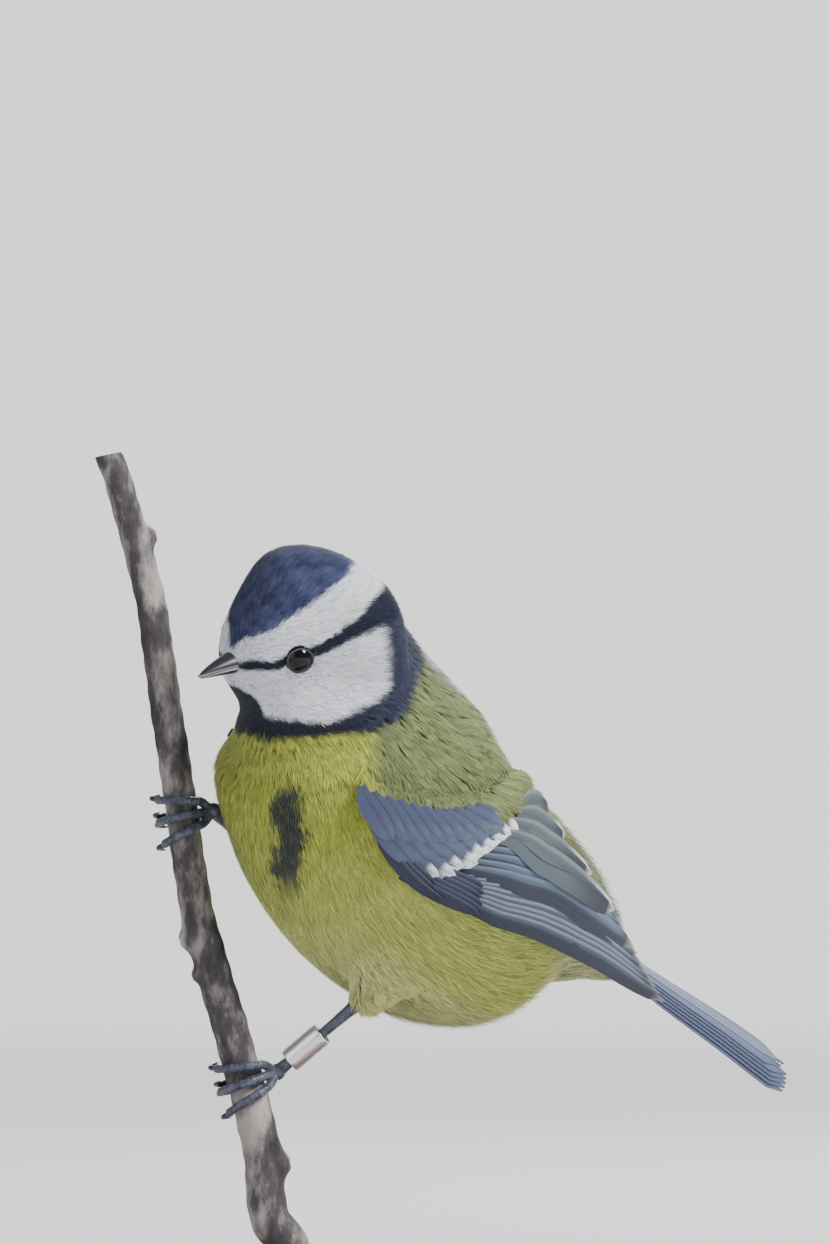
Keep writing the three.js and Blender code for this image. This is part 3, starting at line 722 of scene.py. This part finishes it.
def vane_material(name, roughness):
    """Feather web: the painted colour with fine barbs as slanted lines, also as a slight bump."""
    made, shader, tree = new_material(name, roughness, 0.0, 0.35)
    own = tree.nodes.new("ShaderNodeUVMap")
    own.uv_map = "feather"
    slant = {"Rotation": (0, 0, 0.5), "Scale": (46, 6, 1)}
    turned = add_node(tree, "Mapping", slant, {"Vector": own.outputs["UV"]})
    barbs = {"Scale": 1.0, "Distortion": 2.2, "Detail": 2.0}
    lines = add_node(tree, "TexWave", barbs, {"Vector": turned.outputs["Vector"]})
    tone = add_node(tree, "MapRange", {"To Min": 0.82, "To Max": 1.12}, {"Value": lines.outputs["Fac"]})
    mixed = tree.nodes.new("ShaderNodeVectorMath")
    mixed.operation = "SCALE"
    tree.links.new(painted_colour(tree), mixed.inputs[0])
    tree.links.new(tone.outputs["Result"], mixed.inputs["Scale"])
    tree.links.new(mixed.outputs["Vector"], shader.inputs["Base Color"])
    relief(shader, tree, lines.outputs["Fac"], 0.25, 0.1)
    return made


def wing_colours(kind, u, v, outer, share):
    """The vane's colours by its kind: edges, webs, shaft and tip, from its own two directions."""
    edge = step(0.45, 0.85, v * outer)
    shaft = 1 - step(0.03, 0.10, np.abs(v))
    if kind in ("primary", "secondary"):
        long_one = kind == "primary"
        panel = screen(84, 94, 116) if long_one else screen(82, 97, 118)
        rim = step(0.62, 0.8, v * outer) * (0.7 if long_one else 0.35)
        colour = blend(screen(48, 54, 68), panel, step(-0.2, 0.3, v * outer) * (0.7 if long_one else 0.95))
        colour = blend(colour, screen(146, 156, 172), rim)
        colour = blend(colour, screen(60, 62, 72), step(0.82, 0.95, u) * 0.8)
        colour = blend(colour, screen(196, 200, 204), step(0.965, 0.99, u) * 0.8)
    elif kind == "tertial":
        colour = blend(screen(80, 92, 98), screen(52, 56, 66), step(0.55, 0.9, u))
        colour = blend(colour, screen(128, 136, 132), edge * 0.7)
        colour = blend(colour, screen(216, 218, 220), step(0.70, 0.95, u) * step(0.55, 0.8, v * outer))
        colour = blend(colour, screen(216, 218, 220), step(0.965, 0.985, u))
    elif kind in ("primary_covert", "alula"):
        colour = blend(screen(52, 57, 76), screen(80, 88, 112), edge * 0.8)
    elif kind == "greater_covert":
        colour = blend(screen(74, 82, 106), screen(88, 97, 122), step(0.2, 0.7, u))
        tip = step(0.83 - 0.06 * share, 0.88 - 0.06 * share, u + 0.03 * v * outer)
        colour = blend(colour, screen(236, 239, 243), tip)
    else:
        colour = blend(screen(76, 84, 112), screen(92, 101, 128), step(0.5, 0.95, u))
    return blend(colour, screen(46, 50, 60), shaft * 0.4)


web_colour = vane_material("feather_web", 0.6)
for side, wing in ((1, "wing_left"), (-1, "wing_right")):
    vanes = []
    draw = np.random.default_rng(61)
    for kind, count, first, last, half, lift in WING_VANES:
        for k in range(count):
            share = k / (count - 1)
            s0, t0, s1, t1 = np.array(first) * (1 - share) + np.array(last) * share
            s1 = s1 + draw.normal(0, 0.25)
            if side < 0:
                s1 = min(s1, FAR_TIP) - (FAR_TERTIAL_BACK if kind == "tertial" else 0.0)
                t1 = t1 + (FAR_TERTIAL_TURN if kind == "tertial" else 0)

            def over_sheet(u, s0=s0, t0=t0, s1=s1, t1=t1, side=side):
                """The feather's middle line over the sheet, with the way out and the way ahead."""
                at, out, _, _ = wing_sheet(s0 + (s1 - s0) * u, t0 + (t1 - t0) * u, side)
                return at, out, unit(np.gradient(at, axis=0))

            points, u, v = vane(over_sheet, half, lift + 0.06 * share, side)
            vanes.append((points, u, v, wing_colours(kind, u, v, side, share)))
    feathers = join_vanes(wing + "_feathers", vanes)
    feathers.data.materials.append(web_colour)
    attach(feathers, "root")
    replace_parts(feathers, wing)

# The scapulars and the breast's side feathers hang over the wing's front edge and hide the roots there.
# They are green above and yellow at the wrist, as the coat beside them is.
SHOULDER_TUFTS = 1700
SHOULDER_RISE = 1.75
SHOULDER_SHARE = [0, 0.27, 0.55, 0.78, 1]
SHOULDER_AT = [9.5, 15.0, 19.5, 22.0, 24.5]
SHOULDER_TURN = [122, 102, 84, 68, 56]
for side, part in ((1, "coat_shoulder_left"), (-1, "coat_shoulder_right")):
    draw = np.random.default_rng(71)
    count = int(SHOULDER_TUFTS * quality)
    along_edge = draw.random(count)
    ahead = draw.uniform(0.6, 5.4, count)
    s = np.interp(along_edge, SHOULDER_SHARE, SHOULDER_AT) - ahead
    t = np.interp(along_edge, SHOULDER_SHARE, SHOULDER_TURN) - 0.6 * ahead
    at, out, along, across = wing_sheet(s, t, side)
    rows = step(0.6, 5.4, ahead)
    rise = SHOULDER_RISE - 3.6 * step(2.4, 4.8, ahead)
    rise = rise - 1.1 * (1 - step(0.05, 0.3, along_edge)) - 1.1 * step(0.6, 0.95, along_edge)
    roots = at + out * rise[:, None]
    lie = unit(unit(along) + 0.25 * unit(across) * (1 - 2 * along_edge)[:, None])
    lie = unit(lie - out * (lie * out).sum(-1, keepdims=True))
    length = draw.uniform(3.4, 4.6, count) * (0.75 + 0.25 * rows)
    spread, lift = np.full(count, 0.22), np.full(count, 0.10)
    coat = tufts(part, roots, out, length, spread, lift, 72, 8, 3, BODY_BARB, lie)
    coat.data.materials.append(coat_colour)
    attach(coat, "root")

# The tail is twelve long feathers, closed, the middle pair on top and the outer ones with a white edge.
# They grow from the rump and lie over one another like a folded fan.
TAIL_ROOT = 40.0
TAIL_LENGTH = 50.0
TAIL_HALF_WIDTH = 1.75
vanes = []
for pair in range(6):
    for side in (-1, 1):
        start = side * 0.45 * pair
        end = side * (0.5 + 0.58 * pair)
        reach = TAIL_LENGTH + 0.5 * math.sin(math.pi * pair / 6) - (0 if pair else 1.0)

        def over_tail(u, start=start, end=end, reach=reach, pair=pair):
            """The feather's middle line over the tail's slightly arched sheet."""
            s = TAIL_ROOT + reach * u
            off = start + (end - start) * u
            at = on_line(s, off, 0.55 - 0.2 * pair - 0.03 * off**2)
            return at, line_frame(s)[3], unit(np.gradient(at, axis=0))

        points, u, v = vane(over_tail, TAIL_HALF_WIDTH, 0.0, side, tip=0.10)
        colour = blend(screen(96, 106, 134), screen(66, 74, 96), step(-0.2, -0.9, v * side) * 0.5)
        colour = blend(colour, screen(130, 141, 168), step(0.5, 0.95, v * side) * 0.6)
        if pair == 5:
            colour = blend(colour, screen(226, 230, 234), step(0.2, 0.45, v * side))
        colour = blend(colour, screen(58, 64, 82), (1 - step(0.03, 0.12, np.abs(v))) * 0.7)
        colour = blend(colour, screen(92, 98, 114), step(0.93, 0.99, u) * 0.5)
        vanes.append((points, u, v, colour))
tail = join_vanes("tail_feathers", vanes)
tail.data.materials.append(web_colour)
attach(tail, "root")
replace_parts(tail, "tail")

# The eyes are wet dark balls in a thin ring of bare lid.
# On a museum model they are glass, set into the skin.
eye_glass, _, _ = new_material("eye_glass", 0.03, 0.0, 0.35, (0.004, 0.003, 0.003))
lid_skin, _, _ = new_material("lid_skin", 0.7, 0.0, 0.3, screen(66, 68, 78))
EYE_RADIUS = 2.15
LID_RADIUS = 1.60
LID_THICKNESS = 0.13
LID_OUT = 1.42
for side, eye in ((1, "eye_left"), (-1, "eye_right")):
    a, b = ring_grid(np.linspace(0.0, np.pi, 33)[1:-1], 48)
    ball = from_head(np.stack([
        EYE_PLACE[0] + EYE_RADIUS * np.sin(a) * np.cos(b), side * (EYE_PLACE[1] + EYE_RADIUS * np.cos(a)),
        EYE_PLACE[2] + EYE_RADIUS * np.sin(a) * np.sin(b)], -1))
    made = new_mesh(eye + "_ball", *closed_rings(ball))
    outward(made)
    made.data.materials.append(eye_glass)
    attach(made, "root")
    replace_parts(made, eye)
    turn, tube = ring_grid(np.arange(56) * np.pi / 28, 12)
    reach = LID_RADIUS + LID_THICKNESS * np.cos(tube) + 0.03 * np.sin(turn * 15)
    tilt = np.array([0.46, 0.885 * side, 0.06])
    across = np.array([0.885, -0.46 * side, 0.0])
    ring = from_head(np.array([EYE_PLACE[0], side * EYE_PLACE[1], EYE_PLACE[2]])
                     + tilt * (LID_OUT + 0.15 * np.sin(tube))[..., None]
                     + across * (1.06 * reach * np.cos(turn))[..., None]
                     + np.array([0.0, 0.0, 1.0]) * (0.95 * reach * np.sin(turn))[..., None])
    ring = np.concatenate([ring, ring[:1]])
    made = new_mesh(eye + "_lid", ring, grid_faces(57, 12, True))
    outward(made)
    made.data.materials.append(lid_skin)
    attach(made, "root")

# The bill is a short cone of horn in two halves that meet along the line of the mouth.
# It is dark, with a paler cutting edge and a shine along its ridge.
horn, shader, tree = new_material("bill_horn", 0.32, 0.0, 0.5)
tree.links.new(painted_colour(tree), shader.inputs["Base Color"])
BILL_LENGTH = 6.8
BILL_START = 6.4
BILL_HALF_WIDTH = 1.85
BILL_DROOP = 0.75
MOUTH_LEVEL = -1.5
for upper in (True, False):
    u, a = np.meshgrid(np.linspace(0, 1, 28), np.linspace(0, np.pi, 25), indexing="ij")
    taper = (1 - u) ** 0.72 + 0.03
    height = (1.75 if upper else -1.35) * taper * np.sin(a)
    ridge = 1 + 0.05 * np.cos(2 * a) * (1 - u)
    curve = MOUTH_LEVEL - BILL_DROOP * u**2 + (0.08 if upper else -0.08)
    cone = from_head(np.stack([
        BILL_START + (BILL_LENGTH + (0.35 if upper else 0.0)) * u,
        BILL_HALF_WIDTH * taper * np.cos(a) * ridge, curve + height], -1))
    made = new_mesh("bill_top" if upper else "bill_foot", *closed_rings(cone))
    outward(made)
    made_points = np.empty(len(made.data.vertices) * 3)
    made.data.vertices.foreach_get("co", made_points)
    local = to_head(made_points.reshape(-1, 3) * 1000)
    u = np.clip((local[:, 0] - BILL_START) / 7.2, 0, 1)
    edge = 1 - step(0.10, 0.38, np.abs(local[:, 2] - MOUTH_LEVEL + BILL_DROOP * u**2))
    paint(made, blend(screen(40, 40, 47), screen(168, 166, 166), edge * 0.75))
    made.data.materials.append(horn)
    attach(made, "root")
    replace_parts(made, "bill_upper" if upper else "bill_lower")

# The legs are thin and scaled, with three toes forward and one back, each ending in a hooked claw.
# The feet grip the twig, and the claws close past the toes' ends.
# Each row of the twig is a height, the middle there, and the radius.
TWIG_ROWS = np.array([
    [16.3, -16.4, -2.0, 2.70],
    [18.4, -16.4, -2.0, 2.65],
    [21.5, -18.7, -2.0, 2.60],
    [30.6, -19.8, -2.0, 2.50],
    [39.7, -22.0, -2.0, 2.40],
    [50.1, -25.0, -2.0, 2.30],
    [56.5, -26.9, -2.0, 2.25],
    [63.0, -28.5, -2.0, 2.15],
    [76.0, -30.4, -1.5, 2.10],
    [89.0, -32.4, -1.0, 2.05],
    [102.0, -34.3, -0.5, 1.95],
    [109.7, -36.3, 0.0, 1.85],
    [117.5, -38.5, 0.4, 1.80],
    [120.8, -39.8, 0.6, 1.75],
])
# Each toe is a rise from the foot, a drop along itself, and the turns round the twig where it starts,
# where it ends and that its claw adds. Each leg is a side, the foot's height and the ankle's place.
TOES = ((1.3, 1.2, -28, -168, -50), (0.0, -0.6, -28, -186, -52), (-1.3, -2.2, -28, -160, -50),
        (-0.2, 0.4, 40, 150, 48))
HUB_OUT, HUB_RADIUS = 1.9, 1.1
TOE_OUT, TOE_RADIUS = 0.96, 0.60
CLAW_OUT, CLAW_ROOT, CLAW_TIP = 0.82, 0.40, 0.05
SHANK_RADIUS = 0.70
LEGS = (("left", 39.6, (-7.4, -4.0, 49.6)), ("right", 74.0, (-16.3, 8.9, 65.7)))


def twig_at(z):
    """The twig's middle at a height, its radius, its own direction, and the ways right and away of it."""
    x, y, radius = np.moveaxis(smooth_rows(TWIG_ROWS, z), -1, 0)
    ahead, behind = smooth_rows(TWIG_ROWS, np.asarray(z) + 1), smooth_rows(TWIG_ROWS, np.asarray(z) - 1)
    axis = unit(np.stack([ahead[..., 0] - behind[..., 0], ahead[..., 1] - behind[..., 1], 2 + 0 * x], -1))
    right = unit(np.array([1.0, 0, 0]) - axis * axis[..., :1])
    return np.stack([x, y, np.asarray(z) + 0 * x], -1), radius, axis, right, np.cross(axis, right)


def foot_hub(height):
    """The foot's middle: right of the twig at a height, a little outside its bark."""
    middle, radius, _, right, _ = twig_at(height)
    return middle + right * (radius + HUB_OUT)


def sweep(path, radius, upright, columns=20):
    """A closed tube: rings of the radius at each point of a path, square to its direction there."""
    ahead = unit(np.gradient(path, axis=0))
    one = unit(np.cross(ahead, upright))
    two = np.cross(ahead, one)
    a = np.arange(columns) * 2 * np.pi / columns
    return closed_rings(path[:, None] + radius[:, None, None] * around(one[:, None], two[:, None], a))


def join_parts(name, parts, material):
    """One object from several closed skins, on the still frame."""
    made = new_mesh(name, *together(parts))
    outward(made)
    made.data.materials.append(material)
    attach(made, "root")
    return made


def mottle(tree, noise, stretch=(1, 1, 1)):
    """Noise by the place on the piece, stretched along the axes: a value from 0 to 1."""
    place = tree.nodes.new("ShaderNodeTexCoord")
    stretched = add_node(tree, "Mapping", {"Scale": stretch}, {"Vector": place.outputs["Object"]})
    return add_node(tree, "TexNoise", noise, {"Vector": stretched.outputs["Vector"]}).outputs["Fac"]


def shade(shader, tree, value, stops):
    """The base colour from a value: straight between stops, each a value and its colour on screen."""
    ramp = add_node(tree, "ValToRGB", {}, {"Fac": value})
    elements = ramp.color_ramp.elements
    elements[0].position, elements[1].position = stops[0][0], stops[-1][0]
    for at, _ in stops[1:-1]:
        elements.new(at)
    for element, (_, colour) in zip(elements, stops):
        element.color = (*screen(*colour), 1)
    tree.links.new(ramp.outputs["Color"], shader.inputs["Base Color"])


leg_skin, shader, tree = new_material("leg_scales", 0.42, 0.0, 0.45)
shade(shader, tree, mottle(tree, {"Scale": 900.0}), [(0.35, (54, 58, 74)), (0.7, (92, 98, 114))])
claw_horn, _, _ = new_material("claw_horn", 0.3, 0.0, 0.5, screen(40, 40, 48))
for name, height, ankle in LEGS:
    hub = foot_hub(height)
    toes, claws = [], []
    for rise, drop, start, end, bend in TOES:
        u = np.linspace(0, 1, 12)
        at, radius, axis, right, away = twig_at(height + rise + drop * u)
        a = np.radians(start + (end - start) * u)
        arc = at + around(right, away, a) * (radius + TOE_OUT)[:, None]
        knots = np.concatenate([hub[None], arc])
        rows = np.concatenate([np.arange(13.0)[:, None], knots], 1)
        u = np.linspace(0, 12, 120)
        joint = np.exp(-((u[:, None] - np.array([[4.2, 7.6, 11.2]])) / 0.55) ** 2).sum(1)
        thick = TOE_RADIUS * (1 - 0.16 * u / 12) + 0.07 * joint + 0.025 * np.cos(u * 7.5)
        thick = thick * np.clip(1 - ((u - 11.3) / 0.75).clip(0, 1) ** 2, 0.05, 1) ** 0.5
        toes.append(sweep(smooth_rows(rows, u), thick, axis[0]))
        u = np.linspace(0, 1, 36)
        at, radius, axis, right, away = twig_at(height + rise + drop + 0.6 * np.sign(drop) * u)
        a = np.radians(end + bend * (u - 0.14))
        reach = radius + CLAW_OUT + 0.75 * np.sin(np.pi * np.minimum(1, u * 1.05))
        path = at + around(right, away, a) * reach[:, None]
        claws.append(sweep(path, CLAW_ROOT + (CLAW_TIP - CLAW_ROOT) * u**1.6, axis[0], 16))
    a, b = ring_grid(np.linspace(0.05, np.pi - 0.05, 16), 24)
    ball = np.stack([np.sin(a) * np.cos(b), np.sin(a) * np.sin(b), np.cos(a)], -1)
    toes.append(closed_rings(hub + HUB_RADIUS * ball))
    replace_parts(join_parts(f"toes_{name}", toes, leg_skin), f"foot_{name}")
    join_parts(f"claws_{name}", claws, claw_horn)
    u = np.linspace(-0.05, 1.0, 90)
    bone = hub - np.array(ankle)
    path = np.array(ankle) + bone * u[:, None]
    thick = SHANK_RADIUS * (1.25 - 0.35 * np.sin(np.pi * np.clip(u, 0, 1))) + 0.03 * np.abs(np.sin(u * 22))
    shank = join_parts(f"shank_{name}", [sweep(path, thick, np.array([0.0, 1.0, 0.0]))], leg_skin)
    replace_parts(shank, f"tarsus_{name}")

# The ring is a plain strip of light metal, slightly scuffed.
# It is bent closed round the left shank, slides on it a little, and rests above the foot.
RING_RADIUS, RING_HALF_WALL, RING_HALF_LENGTH = 1.42, 0.22, 2.8
RING_UP = 5.0
EDGE_SQUARENESS = 0.35
ring_metal, shader, tree = new_material("ring_metal", 0.34, 1.0, 0.5, (0.86, 0.86, 0.88))
relief(shader, tree, mottle(tree, {"Scale": 1500.0}), 0.35, 0.08)
_, height, ankle = LEGS[0]
hub = foot_hub(height)
along = unit(hub - np.array(ankle))
one = unit(np.cross(along, (0.0, 1.0, 0.0)))
two = np.cross(along, one)
a, b = ring_grid(np.arange(72) * np.pi / 36, 32)
wall = RING_RADIUS + RING_HALF_WALL * np.sign(np.cos(b)) * np.abs(np.cos(b)) ** EDGE_SQUARENESS
length = RING_HALF_LENGTH * np.sign(np.sin(b)) * np.abs(np.sin(b)) ** EDGE_SQUARENESS
band = hub - along * RING_UP + wall[..., None] * around(one, two, a) + along * length[..., None]
strip = (np.concatenate([band, band[:1]]).reshape(-1, 3), grid_faces(73, 32, True).tolist())
band = join_parts("ring_band", [strip], ring_metal)
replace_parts(band, "ring_left")

# The perch is a short cut length of twig with smooth grey bark, bud scars and pale patches.
# Its lower cut end sits on the stand's rod.
# Each bud is a height on the twig, a turn round it and a size.
BUDS = ((28.6, 0, 1.5), (109.7, 10, 1.5), (58.5, 180, 1.45), (53.9, 200, 1.0))
bark, shader, tree = new_material("bark", 0.8, 0.0, 0.3)
patches = mottle(tree, {"Scale": 210.0, "Detail": 8.0, "Roughness": 0.62}, (1.0, 1.0, 0.45))
shade(shader, tree, patches, [(0.36, (38, 36, 44)), (0.5, (80, 75, 78)), (0.64, (166, 160, 156))])
relief(shader, tree, patches, 0.6, 0.3)
cut_wood, _, _ = new_material("cut_wood", 0.8, 0.0, 0.3, screen(196, 176, 142))
z = np.linspace(TWIG_ROWS[0, 0], TWIG_ROWS[-1, 0], 420)
at, radius, _, right, away = twig_at(z)
z = z[:, None]
a = np.arange(64) * 2 * np.pi / 64
radius = radius[:, None] + 0.05 * np.sin(z * 1.9 + 2 * np.sin(a)) + 0.04 * np.sin(3 * a + z * 0.7)
for height, turn, size in BUDS:
    off = (a - math.radians(turn) + np.pi) % (2 * np.pi) - np.pi
    bud = np.exp(-((z - height) / (0.85 * size)) ** 2 - (off * radius / (0.9 * size)) ** 2)
    scar = np.exp(-((z - height) / (0.3 * size)) ** 2 - (off * radius / (0.35 * size)) ** 2)
    radius = radius + 0.85 * size * bud - 0.35 * scar
rings = at[:, None] + radius[..., None] * around(right[:, None], away[:, None], a)
twig = join_parts("twig", [closed_rings(rings)], bark)
twig.data.materials.append(cut_wood)
ends = np.array([len(face.vertices) > 4 for face in twig.data.polygons], np.int32)
twig.data.polygons.foreach_set("material_index", ends)
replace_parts(twig, "perch")

# The stand is a turned round base of dark wood and a short brass rod that holds the twig.
# Both belong to the display, and the rod stands left of the base's middle, right under the twig.
BASE_RADIUS, BASE_HEIGHT = 38.0, 5.0
LOW_ROUND, HIGH_ROUND = 0.8, 1.4
POST_AT, POST_RADIUS = (-16.4, -2.0), 1.7
POST_LOW, POST_TOP = 5.3, 15.4
wood, shader, tree = new_material("stand_wood", 0.45, 0.0, 0.4)
grain = mottle(tree, {"Scale": 3.0, "Detail": 6.0}, (20, 220, 20))
shade(shader, tree, grain, [(0.0, (62, 38, 24)), (1.0, (112, 74, 46))])
brass, _, _ = new_material("stand_brass", 0.28, 1.0, 0.5, (0.72, 0.52, 0.27))
a = np.arange(144) * np.pi / 72
edge = np.linspace(0, np.pi / 2, 8)
reach = np.concatenate([
    [BASE_RADIUS - LOW_ROUND], BASE_RADIUS - LOW_ROUND + LOW_ROUND * np.sin(edge),
    BASE_RADIUS - HIGH_ROUND + HIGH_ROUND * np.cos(edge), [30.0, 12.0, 4.0]])
level = np.concatenate([
    [0.0], LOW_ROUND - LOW_ROUND * np.cos(edge),
    BASE_HEIGHT - HIGH_ROUND + HIGH_ROUND * np.sin(edge), np.full(3, BASE_HEIGHT)])
disc = np.stack([reach[:, None] * np.cos(a), reach[:, None] * np.sin(a), level[:, None] + 0 * a], -1)
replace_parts(join_parts("stand_disc", [closed_rings(disc)], wood), "stand_base")
level = np.linspace(POST_LOW, POST_TOP, 6)
a = a[::3]
post = np.stack(np.broadcast_arrays(
    POST_AT[0] + POST_RADIUS * np.cos(a), POST_AT[1] + POST_RADIUS * np.sin(a), level[:, None]), -1)
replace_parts(join_parts("stand_post", [closed_rings(post)], brass), "stand_rod")

# The floor is one pale sheet that curves up far behind, under soft studio light.
# It is the setting of the picture.
FLOOR_HALF = 6000
BEND_START, BEND_RADIUS = 2600, 900
x, run = np.meshgrid(np.linspace(-FLOOR_HALF, FLOOR_HALF, 3), np.linspace(0, 1, 60), indexing="ij")
bend = np.clip((run - 0.5) / 0.35, 0, 1) * np.pi / 2
level_run = -FLOOR_HALF + 2 * (FLOOR_HALF + BEND_START) * run
far = np.where(run < 0.5, level_run, BEND_START + BEND_RADIUS * np.sin(bend))
rise = BEND_RADIUS * (1 - np.cos(bend)) + np.clip(run - 0.85, 0, 1) * 9000
floor = new_mesh("floor", np.stack([x, far, np.where(run < 0.5, 0.0, rise)], -1), grid_faces(3, 60, False))
pale, _, _ = new_material("floor_pale", 0.95, 0.0, 0.1, (0.74, 0.74, 0.73))
floor.data.materials.append(pale)


def soft_light(name, place, size, power, target=(0.0, 0.0, 0.075)):
    """A square soft lamp that faces the bird."""
    lamp = bpy.data.lights.new(name, "AREA")
    lamp.size = size
    lamp.energy = power
    holder = bpy.data.objects.new(name, lamp)
    bpy.context.scene.collection.objects.link(holder)
    holder.location = place
    aim = np.array(target) - np.array(place)
    holder.rotation_euler = Vector(aim).to_track_quat("-Z", "Y").to_euler()


soft_light("key", (0.85, -0.6, 0.9), 0.34, 26)
soft_light("fill", (-0.9, -0.9, 0.45), 0.9, 4)
soft_light("rim", (0.35, 0.75, 0.7), 0.5, 9)
soft_light("backdrop", (0.0, 1.8, 1.9), 1.2, 70, target=(0.0, 3.3, 0.5))
world = bpy.data.worlds.new("studio")
bpy.context.scene.world = world
world.use_nodes = True
world.node_tree.nodes["Background"].inputs["Color"].default_value = (0.93, 0.95, 1.0, 1)
world.node_tree.nodes["Background"].inputs["Strength"].default_value = 0.3

# The camera looks level along the model's own +Y, from two metres off.
# Its lens gives the photo's scale: the pixels of a millimetre over the pixels of the picture's height.
CAMERA_AWAY, CAMERA_UP = 2000, 99.1
SENSOR = 36.0
PIXELS_PER_MILLIMETRE, PICTURE_HEIGHT = 7.7, 1244
lens = bpy.data.cameras.new("camera")
lens.sensor_width = SENSOR
lens.sensor_fit = "AUTO"
lens.lens = SENSOR * CAMERA_AWAY * PIXELS_PER_MILLIMETRE / PICTURE_HEIGHT
lens.clip_start = 0.1
lens.clip_end = 20.0
camera = bpy.data.objects.new("camera", lens)
bpy.context.scene.collection.objects.link(camera)
camera.location = (0.0, -CAMERA_AWAY * MILLIMETRE, CAMERA_UP * MILLIMETRE)
camera.rotation_euler = (math.radians(90), 0, 0)
bpy.context.scene.camera = camera
